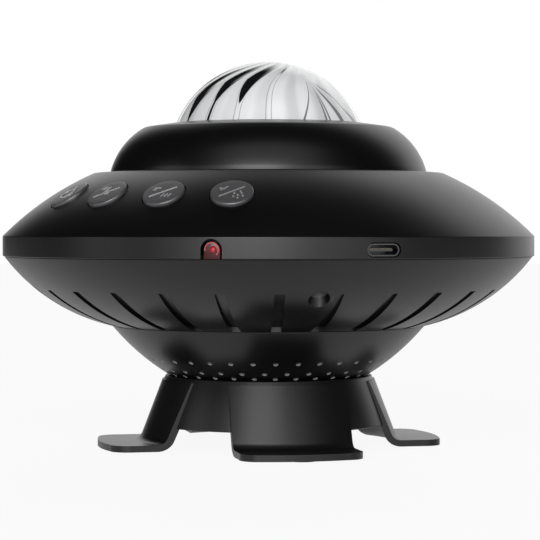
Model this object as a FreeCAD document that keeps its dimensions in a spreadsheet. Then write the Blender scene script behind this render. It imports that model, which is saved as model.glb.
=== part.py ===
"""Star night light projector: a saucer-shaped projector with a speaker, on a four-legged stand.

Millimetres. The origin is on the floor under the dome's axis, +Z is up and -Y is the front.
Azimuths are measured from the front towards +X, so the point at radius r is (r sin, -r cos).
"""

import FreeCAD, Part
import math
import os
import Sketcher

doc = FreeCAD.newDocument("StarProjector")
sheet = doc.addObject("Spreadsheet::Sheet", "Sizes")
V = FreeCAD.Vector
UP = V(0, 0, 1)


class Size:
    """A length or angle, held as a number and as the sheet expression that gives it."""

    def __init__(self, value, text=None):
        self.value = float(value)
        self.text = text or repr(float(value))

    def _with(self, other, sign, value):
        return Size(value, f"({self.text} {sign} {as_size(other).text})")

    def __add__(self, other):
        return self._with(other, "+", self.value + as_size(other).value)

    def __sub__(self, other):
        return self._with(other, "-", self.value - as_size(other).value)

    def __mul__(self, other):
        return self._with(other, "*", self.value * as_size(other).value)

    def __truediv__(self, other):
        return self._with(other, "/", self.value / as_size(other).value)

    def __radd__(self, other):
        return as_size(other) + self

    def __rsub__(self, other):
        return as_size(other) - self

    def __rmul__(self, other):
        return as_size(other) * self

    def __neg__(self):
        return Size(-self.value, f"(0 - {self.text})")


def as_size(value):
    return value if isinstance(value, Size) else Size(value)


row = 0


def size(alias, value, note):
    """Put one driving dimension in the sheet and return it."""
    global row
    row += 1
    sheet.set(f"A{row}", note)
    sheet.set(f"B{row}", str(value))
    sheet.setAlias(f"B{row}", alias)
    return Size(value, f"Sizes.{alias}")


def sine(angle):
    return Size(math.sin(math.radians(angle.value)), f"sin({angle.text})")


def cosine(angle):
    return Size(math.cos(math.radians(angle.value)), f"cos({angle.text})")


# Saucer shells
rim_r = size("rim_radius", 75, "outer radius of the rim band")
rim_low_z = size("rim_low_height", 53.75, "seam under the rim band")
band_h = size("band_height", 5.6, "height of the vertical rim band")
wall = size("shell_wall", 2, "wall of the shells, collar and bowl")
shoulder_r = size("shoulder_radius", 49.5, "where the flat shoulder meets the saucer top")
shoulder_z = size("shoulder_height", 77, "top of the flat shoulder")
top_arc_r = size("top_arc_radius", 83.4, "bulge of the saucer top")
seam_step = size("seam_step", 0.4, "step in from the rim band to the lower shell")
bottom_r = size("bottom_radius", 44.7, "outer radius of the lower shell's bottom edge")
bottom_z = size("bottom_height", 34.2, "height of the lower shell's bottom edge")
bottom_arc_r = size("bottom_arc_radius", 52.2, "bulge of the saucer underside")
flange_in_r = size("flange_inner_radius", 35.5, "inner radius of the flanges at the bottom edge")
groove_n = size("groove_count", 27, "radial grooves in the lower shell")
groove_w = size("groove_width", 2.7, "width of a radial groove")
groove_start_r = size("groove_start_radius", 66, "radius where a groove runs out")
groove_start_z = size("groove_start_height", 45.4, "height where a groove runs out")
groove_depth = size("groove_depth", 1.3, "depth of a groove at the bottom edge")
groove_arc_r = size("groove_arc_radius", 60, "bulge of a groove's floor")
groove_azimuth = size("groove_azimuth", 2.5, "azimuth of the first groove")

# Collar and dome
dome_r = size("dome_radius", 28.5, "outer radius of the dome")
dome_z = size("dome_centre_height", 80.3, "height of the dome's centre")
dome_wall = size("dome_wall", 2.5, "wall of the dome")
dome_flange = size("dome_flange", 3, "width of the dome's flange")
dome_flange_t = size("dome_flange_thickness", 1.5, "thickness of the dome's flange")
collar_r = size("collar_radius", 44.65, "outer radius of the collar at its base")
collar_top_r = size("collar_top_radius", 35.2, "radius of the collar's upper edge")
collar_edge_z = size("collar_edge_height", 90, "height of the collar's upper edge")
collar_rise = size("collar_rise", 1.2, "rise of the collar from its edge to the dome")
collar_arc_r = size("collar_arc_radius", 20.3, "bulge of the collar's side")
dome_gap = size("dome_gap", 0.8, "gap between collar and dome")
skirt_t = size("skirt_thickness", 1.8, "wall of the ring that clamps the dome")

# Speaker bowl and stand
bowl_arc_r = size("bowl_arc_radius", 65.6, "bulge of the bowl's side")
bowl_low_r = size("bowl_low_radius", 28, "outer radius of the bowl's floor")
bowl_low_z = size("bowl_low_height", 20, "height of the bowl's underside")
hole_r = size("perforation_radius", 0.7, "radius of a speaker hole")
drum_low_r = size("drum_low_radius", 33.7, "radius of the drum's lower edge")
drum_low_z = size("drum_low_height", 6.4, "height of the drum's lower edge")
drum_top_r = size("drum_top_radius", 29.3, "radius of the drum at its top")
drum_wall = size("drum_wall", 1.8, "wall of the drum")
leg_w = size("leg_width", 33.2, "width of a leg")
leg_t = size("leg_thickness", 1.8, "thickness of a leg's strip")
leg_top_r = size("leg_top_radius", 28.8, "radius of a leg's outer face at its top")
leg_low_r = size("leg_low_radius", 37.2, "radius of a leg's outer face at its bend")
foot_r = size("foot_radius", 48.5, "radius of the feet's outer ends")
foot_corner = size("foot_corner", 5, "corner radius of a foot")
leg_azimuth = size("leg_azimuth", 12, "azimuth of the front leg")
pad_r = size("foot_pad_radius", 4.2, "radius of a foot pad")
pad_t = size("foot_pad_thickness", 1, "thickness of a foot pad")
pad_proud = size("foot_pad_proud", 0.3, "how far a foot pad stands out")

# Screws and their wells
screw_r = size("screw_radius", 1.2, "shank radius of the screws")
head_r = size("head_radius", 2.3, "head radius of the screws")
head_t = size("head_thickness", 1.4, "head thickness of the screws")
screw_fit = size("screw_fit", 0.05, "clearance of a screw in its pilot hole")
pass_fit = size("pass_fit", 0.3, "clearance of a screw in the piece it clamps")
boss_wall = size("boss_wall", 2, "wall of a screw boss")
well_r = size("well_radius", 2.8, "radius of a screw well in the lower shell")
well_place_r = size("well_place_radius", 64.2, "distance of the wells from the axis")
well_azimuth = size("well_azimuth", 11.6, "azimuth of the front well")
well_top_z = size("well_top_height", 50.5, "height of the seat inside a well")

# Ports in the rim band
ir_azimuth = size("ir_azimuth", -11, "azimuth of the infrared window")
ir_w = size("ir_width", 5.5, "width of the window's notch")
ir_h = size("ir_height", 5.2, "height of the window's notch")
port_azimuth = size("port_azimuth", 22.9, "azimuth of the socket")
port_z = size("port_height", 56.1, "height of the socket's centre")
port_w = size("port_width", 8.94, "width of the socket's metal shell")
port_h = size("port_depth", 3.2, "height of the socket's metal shell")
port_l = size("port_length", 7.35, "length of the socket")
port_in = size("port_inset", 0.6, "how far the socket sits in from the band")
fit = size("fit_gap", 0.2, "gap round pieces that sit in the shells")
board_t = size("board_thickness", 1.6, "thickness of the circuit boards")

# Buttons
button_r = size("button_radius", 5.65, "radius of a button")
button_place_r = size("button_place_radius", 61.5, "distance of the buttons from the axis")
button_azimuth = size("button_azimuth", -8.7, "azimuth of the button nearest the front")
button_step = size("button_step", 17.4, "azimuth between the buttons")
button_gap = size("button_gap", 0.3, "gap round a button")
button_proud = size("button_proud", 0.6, "how far a button stands out")
button_lip = size("button_lip", 0.9, "width of the lip that keeps a button in")
button_lip_t = size("button_lip_thickness", 0.8, "thickness of that lip")
button_travel = size("button_travel", 0.5, "travel of a button")
button_bevel = size("button_bevel", 0.5, "bevel at a button's edge")
plunger_r = size("plunger_radius", 1.7, "radius of a switch plunger")
plunger_fit = size("plunger_fit", 0.08, "clearance of a plunger in its switch")
plunger_in = size("plunger_depth", 0.7, "how far a plunger sits in its switch")
switch_w = size("switch_width", 6, "width of a switch")
switch_t = size("switch_height", 3, "height of a switch")
plunger_out = size("plunger_height", 0.6, "how far a plunger stands out of its switch")

# Chassis and light
chassis_r = size("chassis_radius", 46, "radius of the chassis plate")
chassis_z = size("chassis_height", 60, "height of the chassis plate's underside")
chassis_t = size("chassis_thickness", 2, "thickness of the chassis plate")
boss_place_r = size("boss_place_radius", 40, "distance of the chassis screws from the axis")
sink_r = size("sink_radius", 18, "radius of the heat sink's plate")
sink_t = size("sink_thickness", 2, "thickness of the heat sink's plate")
fin_r = size("fin_radius", 13.5, "radius of the heat sink's finned core")
fin_h = size("fin_height", 9, "height of the fins")
fin_t = size("fin_thickness", 1.2, "thickness of a fin")
fin_pitch = size("fin_pitch", 3.6, "distance between fins")
led_board_r = size("led_board_radius", 16, "radius of the LED board")
led_board_t = size("led_board_thickness", 1.2, "thickness of the LED board")
led_place_r = size("led_place_radius", 10, "distance of the LEDs from the axis")
led_w = size("led_width", 3.5, "width of an LED")
led_t = size("led_height", 1.4, "height of an LED")
lens_r = size("lens_radius", 3.2, "radius of a lens on the lens plate")
lens_rise = size("lens_rise", 1.8, "height of a lens on the lens plate")
lens_plate_t = size("lens_plate_thickness", 1, "thickness of the lens plate")
lens_plate_z = size("lens_plate_height", 2.8, "height of the lens plate above the LED board")
laser_r = size("laser_radius", 3, "radius of the laser module")
laser_l = size("laser_length", 17, "length of the laser module")
bore_fit = size("bore_fit", 0.06, "radial clearance of running and push fits")

# Ripple wheel and its drive
post_r = size("post_radius", 5, "radius of the wheel's post")
post_shoulder_r = size("post_shoulder_radius", 6.4, "radius of the shoulder under the wheel")
post_shoulder_t = size("post_shoulder_thickness", 0.6, "thickness of that shoulder")
hub_r = size("hub_radius", 8, "radius of the wheel's hub")
hub_h = size("hub_height", 4, "height of the wheel's hub")
web_t = size("web_thickness", 1, "thickness of the wheel's rippled web")
ripple_n = size("ripple_count", 12, "radial ripples of the wheel")
ripple_w = size("ripple_width", 1.6, "width of a ripple")
ripple_h = size("ripple_height", 0.7, "height of a ripple")
tooth_module = size("tooth_module", 0.6, "module of the gears")
wheel_teeth = size("wheel_teeth", 70, "teeth of the ring gear")
pinion_teeth = size("pinion_teeth", 12, "teeth of the pinion")
mesh_gap = size("mesh_gap", 0.15, "extra centre distance of the gears")
gear_t = size("gear_thickness", 2.4, "thickness of the ring gear")
gear_web = size("gear_rim", 1.6, "rim of the ring gear below its teeth")
pinion_more = size("pinion_overlap", 0.3, "how far the pinion passes the ring gear each way")
shaft_r = size("shaft_radius", 1, "radius of the motor's shaft")
motor_r = size("motor_radius", 7, "radius of the motor")
motor_h = size("motor_height", 12, "height of the motor")
motor_boss_r = size("motor_boss_radius", 3.5, "radius of the boss round the motor's shaft")
motor_ear_x = size("motor_ear_distance", 10.5, "distance of the motor's screws from its shaft")
motor_azimuth = size("motor_azimuth", 90, "azimuth of the motor")
cap_r = size("cap_radius", 7.2, "radius of the grating cap")
cap_t = size("cap_thickness", 1.8, "thickness of the grating cap")
grating_r = size("grating_radius", 4, "radius of the star grating")
grating_t = size("grating_thickness", 0.8, "thickness of the star grating")
window_r = size("grating_window_radius", 2.4, "radius of the hole under the grating")
axial_gap = size("axial_gap", 0.1, "axial play of the wheel")

# Speaker
speaker_r = size("speaker_radius", 27.5, "radius of the speaker's flange")
speaker_z = size("speaker_height", 30, "height of the speaker's front face")
flange_t = size("speaker_flange", 1.2, "thickness of the speaker's flange")
gasket_t = size("gasket_thickness", 0.8, "thickness of the speaker's gasket")
cone_r = size("cone_radius", 20, "radius of the speaker's cone")
cone_h = size("cone_height", 6.5, "depth of the speaker's cone")
cone_t = size("cone_thickness", 0.5, "thickness of the cone")
coil_r = size("coil_radius", 7, "radius of the voice coil")
frame_h = size("frame_height", 10, "depth of the speaker's basket")
frame_low_r = size("frame_low_radius", 15.5, "radius of the basket's back plate")
magnet_r = size("magnet_radius", 15, "radius of the magnet")
magnet_t = size("magnet_thickness", 6, "thickness of the magnet")
cone_play = size("cone_play", 0.6, "clearance of the cone, more than its travel")
speaker_screw_r = size("speaker_screw_place", 24.3, "distance of the speaker's screws from its axis")

# Main board
main_x = size("main_board_distance", 29, "distance of the main board from the axis")
main_w = size("main_board_width", 24, "width of the main board")
main_l = size("main_board_length", 36, "length of the main board")
standoff = size("standoff_height", 5, "height of the main board's standoffs")
board_edge = size("board_edge", 3, "distance of a board's screws from its edge")

# Seats, bosses, boards and the smaller gaps
shell_steep = size("shell_steep", 1.25, "wall across the saucer's slope, measured along Z")
boss_azimuth = size("boss_azimuth", 45, "azimuth of the first chassis screw")
collar_screw_r = size("collar_screw_place", 36.5, "distance of the collar's screws from the axis")
collar_boss_h = size("collar_boss_height", 7, "height of the collar's bosses")
pilot_h = size("pilot_depth", 8, "depth of the pilot holes")
receiver_w = size("receiver_width", 5, "width of the receiver")
receiver_h = size("receiver_height", 6, "height of the receiver")
receiver_t = size("receiver_depth", 3.5, "depth of the receiver")
receiver_back_r = size("receiver_place", 65.5, "distance of the receiver's back from the axis")
port_board_in = size("port_board_inner_radius", 56.5, "inner radius of the port board")
port_board_out = size("port_board_outer_radius", 70, "outer radius of the port board")
port_board_side = size("port_board_side", 7, "angle the port board reaches past its ports")
port_post_r = size("port_post_place", 60, "distance of the port board's posts from the axis")
left_post_azimuth = size("left_post_azimuth", 3, "azimuth of the port board's left post")
right_post_azimuth = size("right_post_azimuth", 22, "azimuth of the port board's right post")
bottom_inset = size("bottom_inset", 0.3, "how far the shell's inside starts in from the bottom edge")
flange_place_r = size("flange_screw_place", 38.8, "distance of the bowl's screws from the axis")
bowl_grip = size("bowl_screw_grip", 3.5, "depth of the bowl's screws below its rim")
collar_foot = size("collar_foot", 0.9, "upright foot of the collar")
lip_h = size("collar_lip", 1, "edge of the collar round the dome")
stand_place_r = size("stand_screw_place", 14, "distance of the stand's screws from the axis")
outer_row_r = size("outer_row_radius", 35.1, "radius of the outer row of speaker holes")
outer_row_azimuth = size("outer_row_azimuth", 3.2, "azimuth of a hole in the outer row")
outer_row_n = size("outer_row_count", 36, "holes in the outer row")
inner_row_r = size("inner_row_radius", 31.2, "radius of the inner row of speaker holes")
inner_row_azimuth = size("inner_row_azimuth", -2, "azimuth of a hole in the inner row")
inner_row_n = size("inner_row_count", 32, "holes in the inner row")
bend_r = size("bend_radius", 2.6, "inner radius of the legs' bend")
pad_place_r = size("foot_pad_place", 42.8, "distance of the foot pads from the axis")
lip_gap = size("lip_gap", 0.6, "gap between a button's lip and the wall it hooks behind")
strip_w = size("strip_width", 9, "width of the key strip along the slope")
strip_t = size("strip_thickness", 1, "thickness of the key strip")
strip_more = size("strip_overlap", 7, "angle the key strip reaches past its outer switches")
window_in = size("window_back", 1.4, "thickness of the window's back flange")
window_out = size("window_out", 1, "how far the window reaches into the band's wall")
port_skin = size("port_skin", 0.35, "wall of the socket's metal shell")
tongue_w = size("tongue_width", 6.5, "width of the socket's tongue")
tongue_t = size("tongue_thickness", 0.7, "thickness of the socket's tongue")
backlash = size("backlash", 0.16, "play between the gears' teeth")
gear_lift = size("gear_lift", 0.2, "height of the ring gear above the hub's foot")
shaft_in = size("shaft_in", 5, "length of the shaft inside the motor")
window_w = size("basket_window", 11, "width of the openings in the speaker's basket")

doc.recompute()


def origin_plane(body, role):
    return next(part for part in body.Origin.OriginFeatures if part.Role == role)


def plane_sketch(body, name, role, height=None, turn=None):
    """A sketch on one of the body's own planes, lifted by height or turned about +Z by turn."""
    sketch = body.newObject("Sketcher::SketchObject", name)
    sketch.AttachmentSupport = [(origin_plane(body, role), "")]
    sketch.MapMode = "FlatFace"
    if height is not None:
        sketch.AttachmentOffset = FreeCAD.Placement(V(0, 0, height.value), FreeCAD.Rotation())
        sketch.setExpression("AttachmentOffset.Base.z", height.text)
    if turn is not None:
        rotation = FreeCAD.Rotation(V(0, 1, 0), turn.value)
        sketch.AttachmentOffset = FreeCAD.Placement(V(0, 0, 0), rotation)
        sketch.setExpression("AttachmentOffset.Rotation.Angle", turn.text)
    return sketch


def hold_point(sketch, geometry, end, x, y):
    """Fix one end of a line or arc at x, y, each bound to its own expression."""
    hold_level(sketch, geometry, end, "DistanceX", -2, x)
    hold_level(sketch, geometry, end, "DistanceY", -1, y)


def hold_level(sketch, geometry, end, kind, axis, place):
    """Fix one coordinate of a point, or put the point on the axis where that coordinate is zero."""
    if abs(place.value) < 1e-9:
        sketch.addConstraint(Sketcher.Constraint("PointOnObject", geometry, end, axis))
        return
    index = sketch.addConstraint(Sketcher.Constraint(kind, -1, 1, geometry, end, place.value))
    sketch.setExpression(f"Constraints[{index}]", place.text)


def arc_centre(start, end, radius):
    """Centre of the arc from start to end; a positive radius turns left."""
    along = end - start
    half = along.Length / 2
    across = V(-along.y, along.x, 0).normalize()
    rise = math.sqrt(max(radius * radius - half * half, 0))
    return (start + end) / 2 + across * (rise if radius > 0 else -rise)


def outline(sketch, points):
    """Close the points with lines; a third value makes the stretch that ends there an arc."""
    spots = [(as_size(p[0]), as_size(p[1]), as_size(p[2]) if len(p) > 2 else None) for p in points]
    ends = []
    for index, (x, y, bend) in enumerate(spots):
        before = spots[index - 1]
        start = V(before[0].value, before[1].value, 0)
        end = V(x.value, y.value, 0)
        if bend is None:
            number = sketch.addGeometry(Part.LineSegment(start, end), False)
            ends.append((number, 1, 2))
            continue
        centre = arc_centre(start, end, bend.value)
        circle = Part.Circle(centre, UP, abs(bend.value))
        first, last = (start, end) if bend.value > 0 else (end, start)
        low = math.atan2(first.y - centre.y, first.x - centre.x)
        high = math.atan2(last.y - centre.y, last.x - centre.x)
        while high < low:
            high += 2 * math.pi
        number = sketch.addGeometry(Part.ArcOfCircle(circle, low, high), False)
        ends.append((number, 1, 2) if bend.value > 0 else (number, 2, 1))
    for index, (number, start_end, stop_end) in enumerate(ends):
        before = ends[index - 1]
        sketch.addConstraint(Sketcher.Constraint("Coincident", before[0], before[2], number, start_end))
    for (number, start_end, stop_end), (x, y, bend) in zip(ends, spots):
        hold_point(sketch, number, stop_end, x, y)
        if bend is None:
            continue
        before = spots[spots.index((x, y, bend)) - 1]
        chord = V(before[0].value - x.value, before[1].value - y.value, 0)
        if abs(chord.Length / 2 - abs(bend.value)) > 1e-6:
            index = sketch.addConstraint(Sketcher.Constraint("Radius", number, abs(bend.value)))
            sketch.setExpression(f"Constraints[{index}]", f"abs({bend.text})")
        elif abs(chord.x) < abs(chord.y):
            # A half circle is held by its centre
            hold_level(sketch, number, 3, "DistanceX", -2, x)
        else:
            hold_level(sketch, number, 3, "DistanceY", -1, y)


def circle_at(sketch, x, y, radius):
    number = sketch.addGeometry(Part.Circle(V(x.value, y.value, 0), UP, radius.value), False)
    hold_point(sketch, number, 3, x, y)
    index = sketch.addConstraint(Sketcher.Constraint("Radius", number, radius.value))
    sketch.setExpression(f"Constraints[{index}]", radius.text)


def new_body(name):
    body = doc.addObject("PartDesign::Body", name)
    body.Label = name
    return body


def turned(body, points, cut=False, turn=None):
    """Revolve a radius-height outline about Z, or cut the revolved outline away."""
    kind = "PartDesign::Groove" if cut else "PartDesign::Revolution"
    sketch = plane_sketch(body, "section", "XZ_Plane", turn=turn)
    outline(sketch, points)
    feature = body.newObject(kind, "turned")
    feature.Profile = sketch
    feature.ReferenceAxis = (sketch, ["V_Axis"])
    feature.Angle = 360
    sketch.Visibility = False
    return feature


def pulled(body, sketch, length, cut=False, midplane=False, reverse=False):
    """Pad a sketch by length, or pocket it."""
    feature = body.newObject("PartDesign::Pocket" if cut else "PartDesign::Pad", "pulled")
    feature.Profile = sketch
    feature.Length = length.value
    feature.setExpression("Length", length.text)
    feature.Midplane = midplane
    feature.Reversed = reverse
    return feature


def ringed(body, features, count):
    """Repeat features evenly round Z."""
    pattern = body.newObject("PartDesign::PolarPattern", "ring")
    pattern.Originals = features
    pattern.Axis = (origin_axis(body), [""])
    pattern.Angle = 360
    pattern.Occurrences = int(count.value)
    pattern.setExpression("Occurrences", count.text)
    body.Tip = pattern
    return pattern


def origin_axis(body):
    return next(part for part in body.Origin.OriginFeatures if part.Role == "Z_Axis")


def polar(radius, azimuth):
    """X and Y of a point at a radius and azimuth."""
    return radius * sine(azimuth), -(radius * cosine(azimuth))


def front_turn(azimuth):
    """Turn about Z that takes the +X half-plane to an azimuth."""
    return azimuth - 90


def bind(thing, place, size_here):
    setattr(thing, place, size_here.value)
    thing.setExpression(place, size_here.text)


def put(thing, x, y, z):
    """Move a piece, with each coordinate bound to its expression."""
    x, y, z = as_size(x), as_size(y), as_size(z)
    thing.Placement.Base = V(x.value, y.value, z.value)
    for letter, here in zip("xyz", (x, y, z)):
        thing.setExpression(f"Placement.Base.{letter}", here.text)
    return thing


def cylinder(name, radius, height, x=0, y=0, z=0):
    thing = doc.addObject("Part::Cylinder", name)
    bind(thing, "Radius", as_size(radius))
    bind(thing, "Height", as_size(height))
    return put(thing, x, y, z)


def block(name, width, depth, height, x=0, y=0, z=0):
    """A box whose footprint is centred on x, y and whose underside is at z."""
    width, depth, height = as_size(width), as_size(depth), as_size(height)
    thing = doc.addObject("Part::Box", name)
    bind(thing, "Length", width)
    bind(thing, "Width", depth)
    bind(thing, "Height", height)
    return put(thing, as_size(x) - width / 2, as_size(y) - depth / 2, z)


def cut(name, base, tools):
    """Take tools away from base, all of them at once."""
    thing = doc.addObject("Part::Cut", name)
    thing.Base = base
    thing.Tool = tools[0] if len(tools) == 1 else joined(name + "_tools", tools)
    thing.Label = name
    return thing


def joined(name, things):
    thing = doc.addObject("Part::MultiFuse", name)
    thing.Shapes = things
    thing.Label = name
    return thing


def group(name, things):
    """Separate solids that share one name."""
    thing = doc.addObject("Part::Compound", name)
    thing.Links = things
    thing.Label = name
    return thing


def screws(name, places, seat_z, length, up=True, radius=None, head=None):
    """Round-headed screws whose heads sit at seat_z and whose shanks point up or down."""
    radius = radius or screw_r
    head = head or head_r
    things = []
    for x, y in places:
        head_z = seat_z - head_t if up else seat_z
        shank_z = seat_z if up else seat_z - length
        crown = cylinder("head", head, head_t, x, y, head_z)
        shank = cylinder("shank", radius, length, x, y, shank_z)
        things.append(joined("screw", [crown, shank]))
    return group(name, things)


def ring_places(radius, azimuth, count):
    return [polar(radius, azimuth + step * 360 / count) for step in range(count)]


def root(value):
    return Size(math.sqrt(value.value), f"sqrt({value.text})")


def rounded(before, corner, after, radius):
    """The two points that replace a corner by a tangent arc, the second one carrying its radius."""
    (ax, ay), (bx, by), (cx, cy) = [(as_size(p[0]), as_size(p[1])) for p in (before, corner, after)]
    in_x, in_y, out_x, out_y = bx - ax, by - ay, cx - bx, cy - by
    in_l, out_l = root(in_x * in_x + in_y * in_y), root(out_x * out_x + out_y * out_y)
    cos_turn = (in_x * out_x + in_y * out_y) / (in_l * out_l)
    reach = radius * root((1 - cos_turn) / (1 + cos_turn))
    left = in_x.value * out_y.value - in_y.value * out_x.value > 0
    first = (bx - in_x * reach / in_l, by - in_y * reach / in_l)
    last = (bx + out_x * reach / out_l, by + out_y * reach / out_l)
    return first, (last[0], last[1], radius if left else -radius)


def front_piece(name, points, length):
    """Pad an outline, seen from the front, forwards along -Y from the XZ plane."""
    body = new_body(name)
    sketch = plane_sketch(body, "front_outline", "XZ_Plane")
    outline(sketch, points)
    pulled(body, sketch, length)
    return body


def slot_points(width, height):
    """A pill-shaped outline centred on the origin."""
    end, flat = height / 2, (width - height) / 2
    return [(-flat, -end), (flat, -end), (flat, end, end), (-flat, end), (-flat, -end, end)][1:]


def face_out(thing, azimuth, back_r, z):
    """Turn a front piece to its azimuth, with its back face at back_r."""
    x, y = polar(back_r, azimuth)
    thing.Placement = FreeCAD.Placement(V(x.value, y.value, z.value), FreeCAD.Rotation(UP, azimuth.value))
    return thing


def on_saucer(radius):
    """Height and lean of the saucer top at a distance from the axis."""
    start, end = V(rim_r.value, rim_top_z.value, 0), V(shoulder_r.value, shoulder_z.value, 0)
    centre = arc_centre(start, end, top_arc_r.value)
    across = radius - centre.x
    rise = math.sqrt(top_arc_r.value ** 2 - across ** 2)
    return centre.y + rise, math.degrees(math.atan2(across, rise))


def button_places():
    """Azimuth, spot on the saucer top and lean of each button."""
    z, lean = on_saucer(button_place_r.value)
    for step in range(4):
        azimuth = button_azimuth - button_step * step
        x, y = polar(button_place_r, azimuth)
        yield azimuth.value, V(x.value, y.value, z), lean


def freed(thing):
    """Drop the expressions of a piece's place, for a piece that is turned."""
    for letter in "xyz":
        thing.setExpression(f"Placement.Base.{letter}", None)
    return thing


def on_button(thing, depth, spot, azimuth, lean):
    """Stand a piece on the saucer top's normal at a button, its base at depth below the surface."""
    freed(thing)
    tip = FreeCAD.Rotation(UP, azimuth).multiply(FreeCAD.Rotation(V(1, 0, 0), lean))
    base = spot + tip.multVec(V(0, 0, -depth.value))
    thing.Placement = FreeCAD.Placement(base, tip)
    return thing


def circles(body, places, radius, low, length, cut=False):
    """Pad or pocket upright round columns from low upwards."""
    sketch = plane_sketch(body, "circles", "XY_Plane", height=low)
    for x, y in places:
        circle_at(sketch, x, y, radius)
    return pulled(body, sketch, length, cut=cut, reverse=cut)


def arch_points(width, height):
    """An upright outline with a half-round top, standing on the origin."""
    half = width / 2
    return [(half, Size(0)), (half, height - half), (-half, height - half, half), (-half, Size(0))]


# What follows from the sizes
rim_top_z = rim_low_z + band_h
seam_r = rim_r - seam_step
saucer_in_r = rim_r - wall
well_places = ring_places(well_place_r, well_azimuth, 4)
pilot_r = screw_r + screw_fit
pass_r = screw_r + pass_fit
boss_r = pilot_r + boss_wall
well_out_r = well_r + boss_wall / 2
chassis_places = ring_places(boss_place_r, boss_azimuth, 4)
collar_places = ring_places(collar_screw_r, Size(0), 4)
chassis_top = chassis_z + chassis_t
shoulder_low = shoulder_z - wall
neck_r = dome_r - dome_wall + 1
port_board_z = port_z - port_h / 2 - board_t
port_posts = [polar(port_post_r, left_post_azimuth), polar(port_post_r, right_post_azimuth)]
port_board_top = port_board_z + board_t
flange_places = ring_places(flange_place_r, boss_azimuth, 4)
collar_top_z = collar_edge_z + collar_rise
collar_open_r = root(dome_r * dome_r - (collar_top_z - dome_z) * (collar_top_z - dome_z)) + dome_gap
skirt_in_r = dome_r + dome_gap
skirt_out_r = skirt_in_r + skirt_t
flange_top_z = shoulder_z + dome_flange_t
speaker_places = ring_places(speaker_screw_r, boss_azimuth, 4)
stand_places = ring_places(stand_place_r, boss_azimuth, 4)
perforations = [(outer_row_r, outer_row_azimuth, outer_row_n), (inner_row_r, inner_row_azimuth, inner_row_n)]
foot_z = pad_proud
leg_top_z = bowl_low_z - wall / 2
pad_places = ring_places(pad_place_r, leg_azimuth, 4)
button_names = ("power", "mode", "music", "volume")
button_depth = wall + button_lip_t + lip_gap
switch_depth = button_depth + plunger_out
strip_span = button_step * 3 + strip_more * 2
strip_turn = button_azimuth - button_step * 1.5 - 90
wheel_pitch_r = tooth_module * wheel_teeth / 2
pinion_pitch_r = tooth_module * pinion_teeth / 2
motor_place_r = wheel_pitch_r + pinion_pitch_r + mesh_gap
motor_place = polar(motor_place_r, motor_azimuth)
motor_screw_places = [
    (motor_place[0] - motor_ear_x * cosine(motor_azimuth) * side,
     motor_place[1] - motor_ear_x * sine(motor_azimuth) * side) for side in (-1, 1)]
main_places = [
    (-(main_x + (main_w / 2 - board_edge) * side), (main_l / 2 - board_edge) * other)
    for side in (-1, 1) for other in (-1, 1)]
led_board_z = chassis_top + sink_t
led_z = led_board_z + led_board_t
led_places = ring_places(led_place_r, boss_azimuth, 4)
lens_plate_top = led_z + lens_plate_z + lens_plate_t
shoulder_top_z = lens_plate_top + lens_rise + post_shoulder_t
wheel_z = shoulder_top_z + axial_gap
post_top_z = wheel_z + hub_h + axial_gap
gear_z = wheel_z + gear_lift
pinion_z = gear_z - pinion_more
pinion_t = gear_t + pinion_more * 2
motor_low = chassis_z - motor_h
basket_z = speaker_z + frame_h


def upper_shell():
    body = new_body("upper_shell_body")
    # The bosses come first and are cut back so that they end inside the shell's wall
    circles(body, well_places, boss_r, rim_low_z, shoulder_z - rim_low_z)
    circles(body, chassis_places, boss_r, chassis_top, shoulder_z - chassis_top)
    circles(body, port_posts, boss_r, port_board_top, shoulder_z - port_board_top)
    half = wall / 2
    turned(body, [
        (shoulder_r - half, shoulder_z - half),
        (rim_r - half, rim_top_z - half, -top_arc_r),
        (rim_r + wall, rim_top_z - half),
        (rim_r + wall, shoulder_z + wall),
        (boss_r, shoulder_z + wall),
        (boss_r, shoulder_z - half),
    ], cut=True)
    turned(body, [
        (neck_r, shoulder_low),
        (shoulder_r - half, shoulder_low),
        (saucer_in_r, rim_top_z - wall / 2, -(top_arc_r - wall)),
        (saucer_in_r, rim_low_z),
        (rim_r, rim_low_z),
        (rim_r, rim_top_z),
        (shoulder_r, shoulder_z, top_arc_r),
        (neck_r, shoulder_z),
    ])
    circles(body, well_places, pilot_r, rim_low_z, pilot_h, cut=True)
    circles(body, chassis_places, pilot_r, chassis_top, pilot_h, cut=True)
    circles(body, port_posts, pilot_r, port_board_top, pilot_h, cut=True)
    circles(body, collar_places, pass_r, shoulder_low, wall, cut=True)
    tools = []
    for azimuth, spot, lean in button_places():
        tool = cylinder("button_hole", button_r + button_gap, wall * 4)
        tools.append(on_button(tool, wall * 3, spot, azimuth, lean))
    slot = front_piece("port_hole", slot_points(port_w + fit * 3, port_h + fit * 3), wall * 3)
    tools.append(face_out(slot, port_azimuth, rim_r - wall * 2, port_z))
    notch = front_piece("window_notch", arch_points(ir_w, ir_h), wall * 3)
    tools.append(face_out(notch, ir_azimuth, rim_r - wall * 2, rim_low_z - fit))
    return cut("upper_shell", body, tools)


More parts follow.
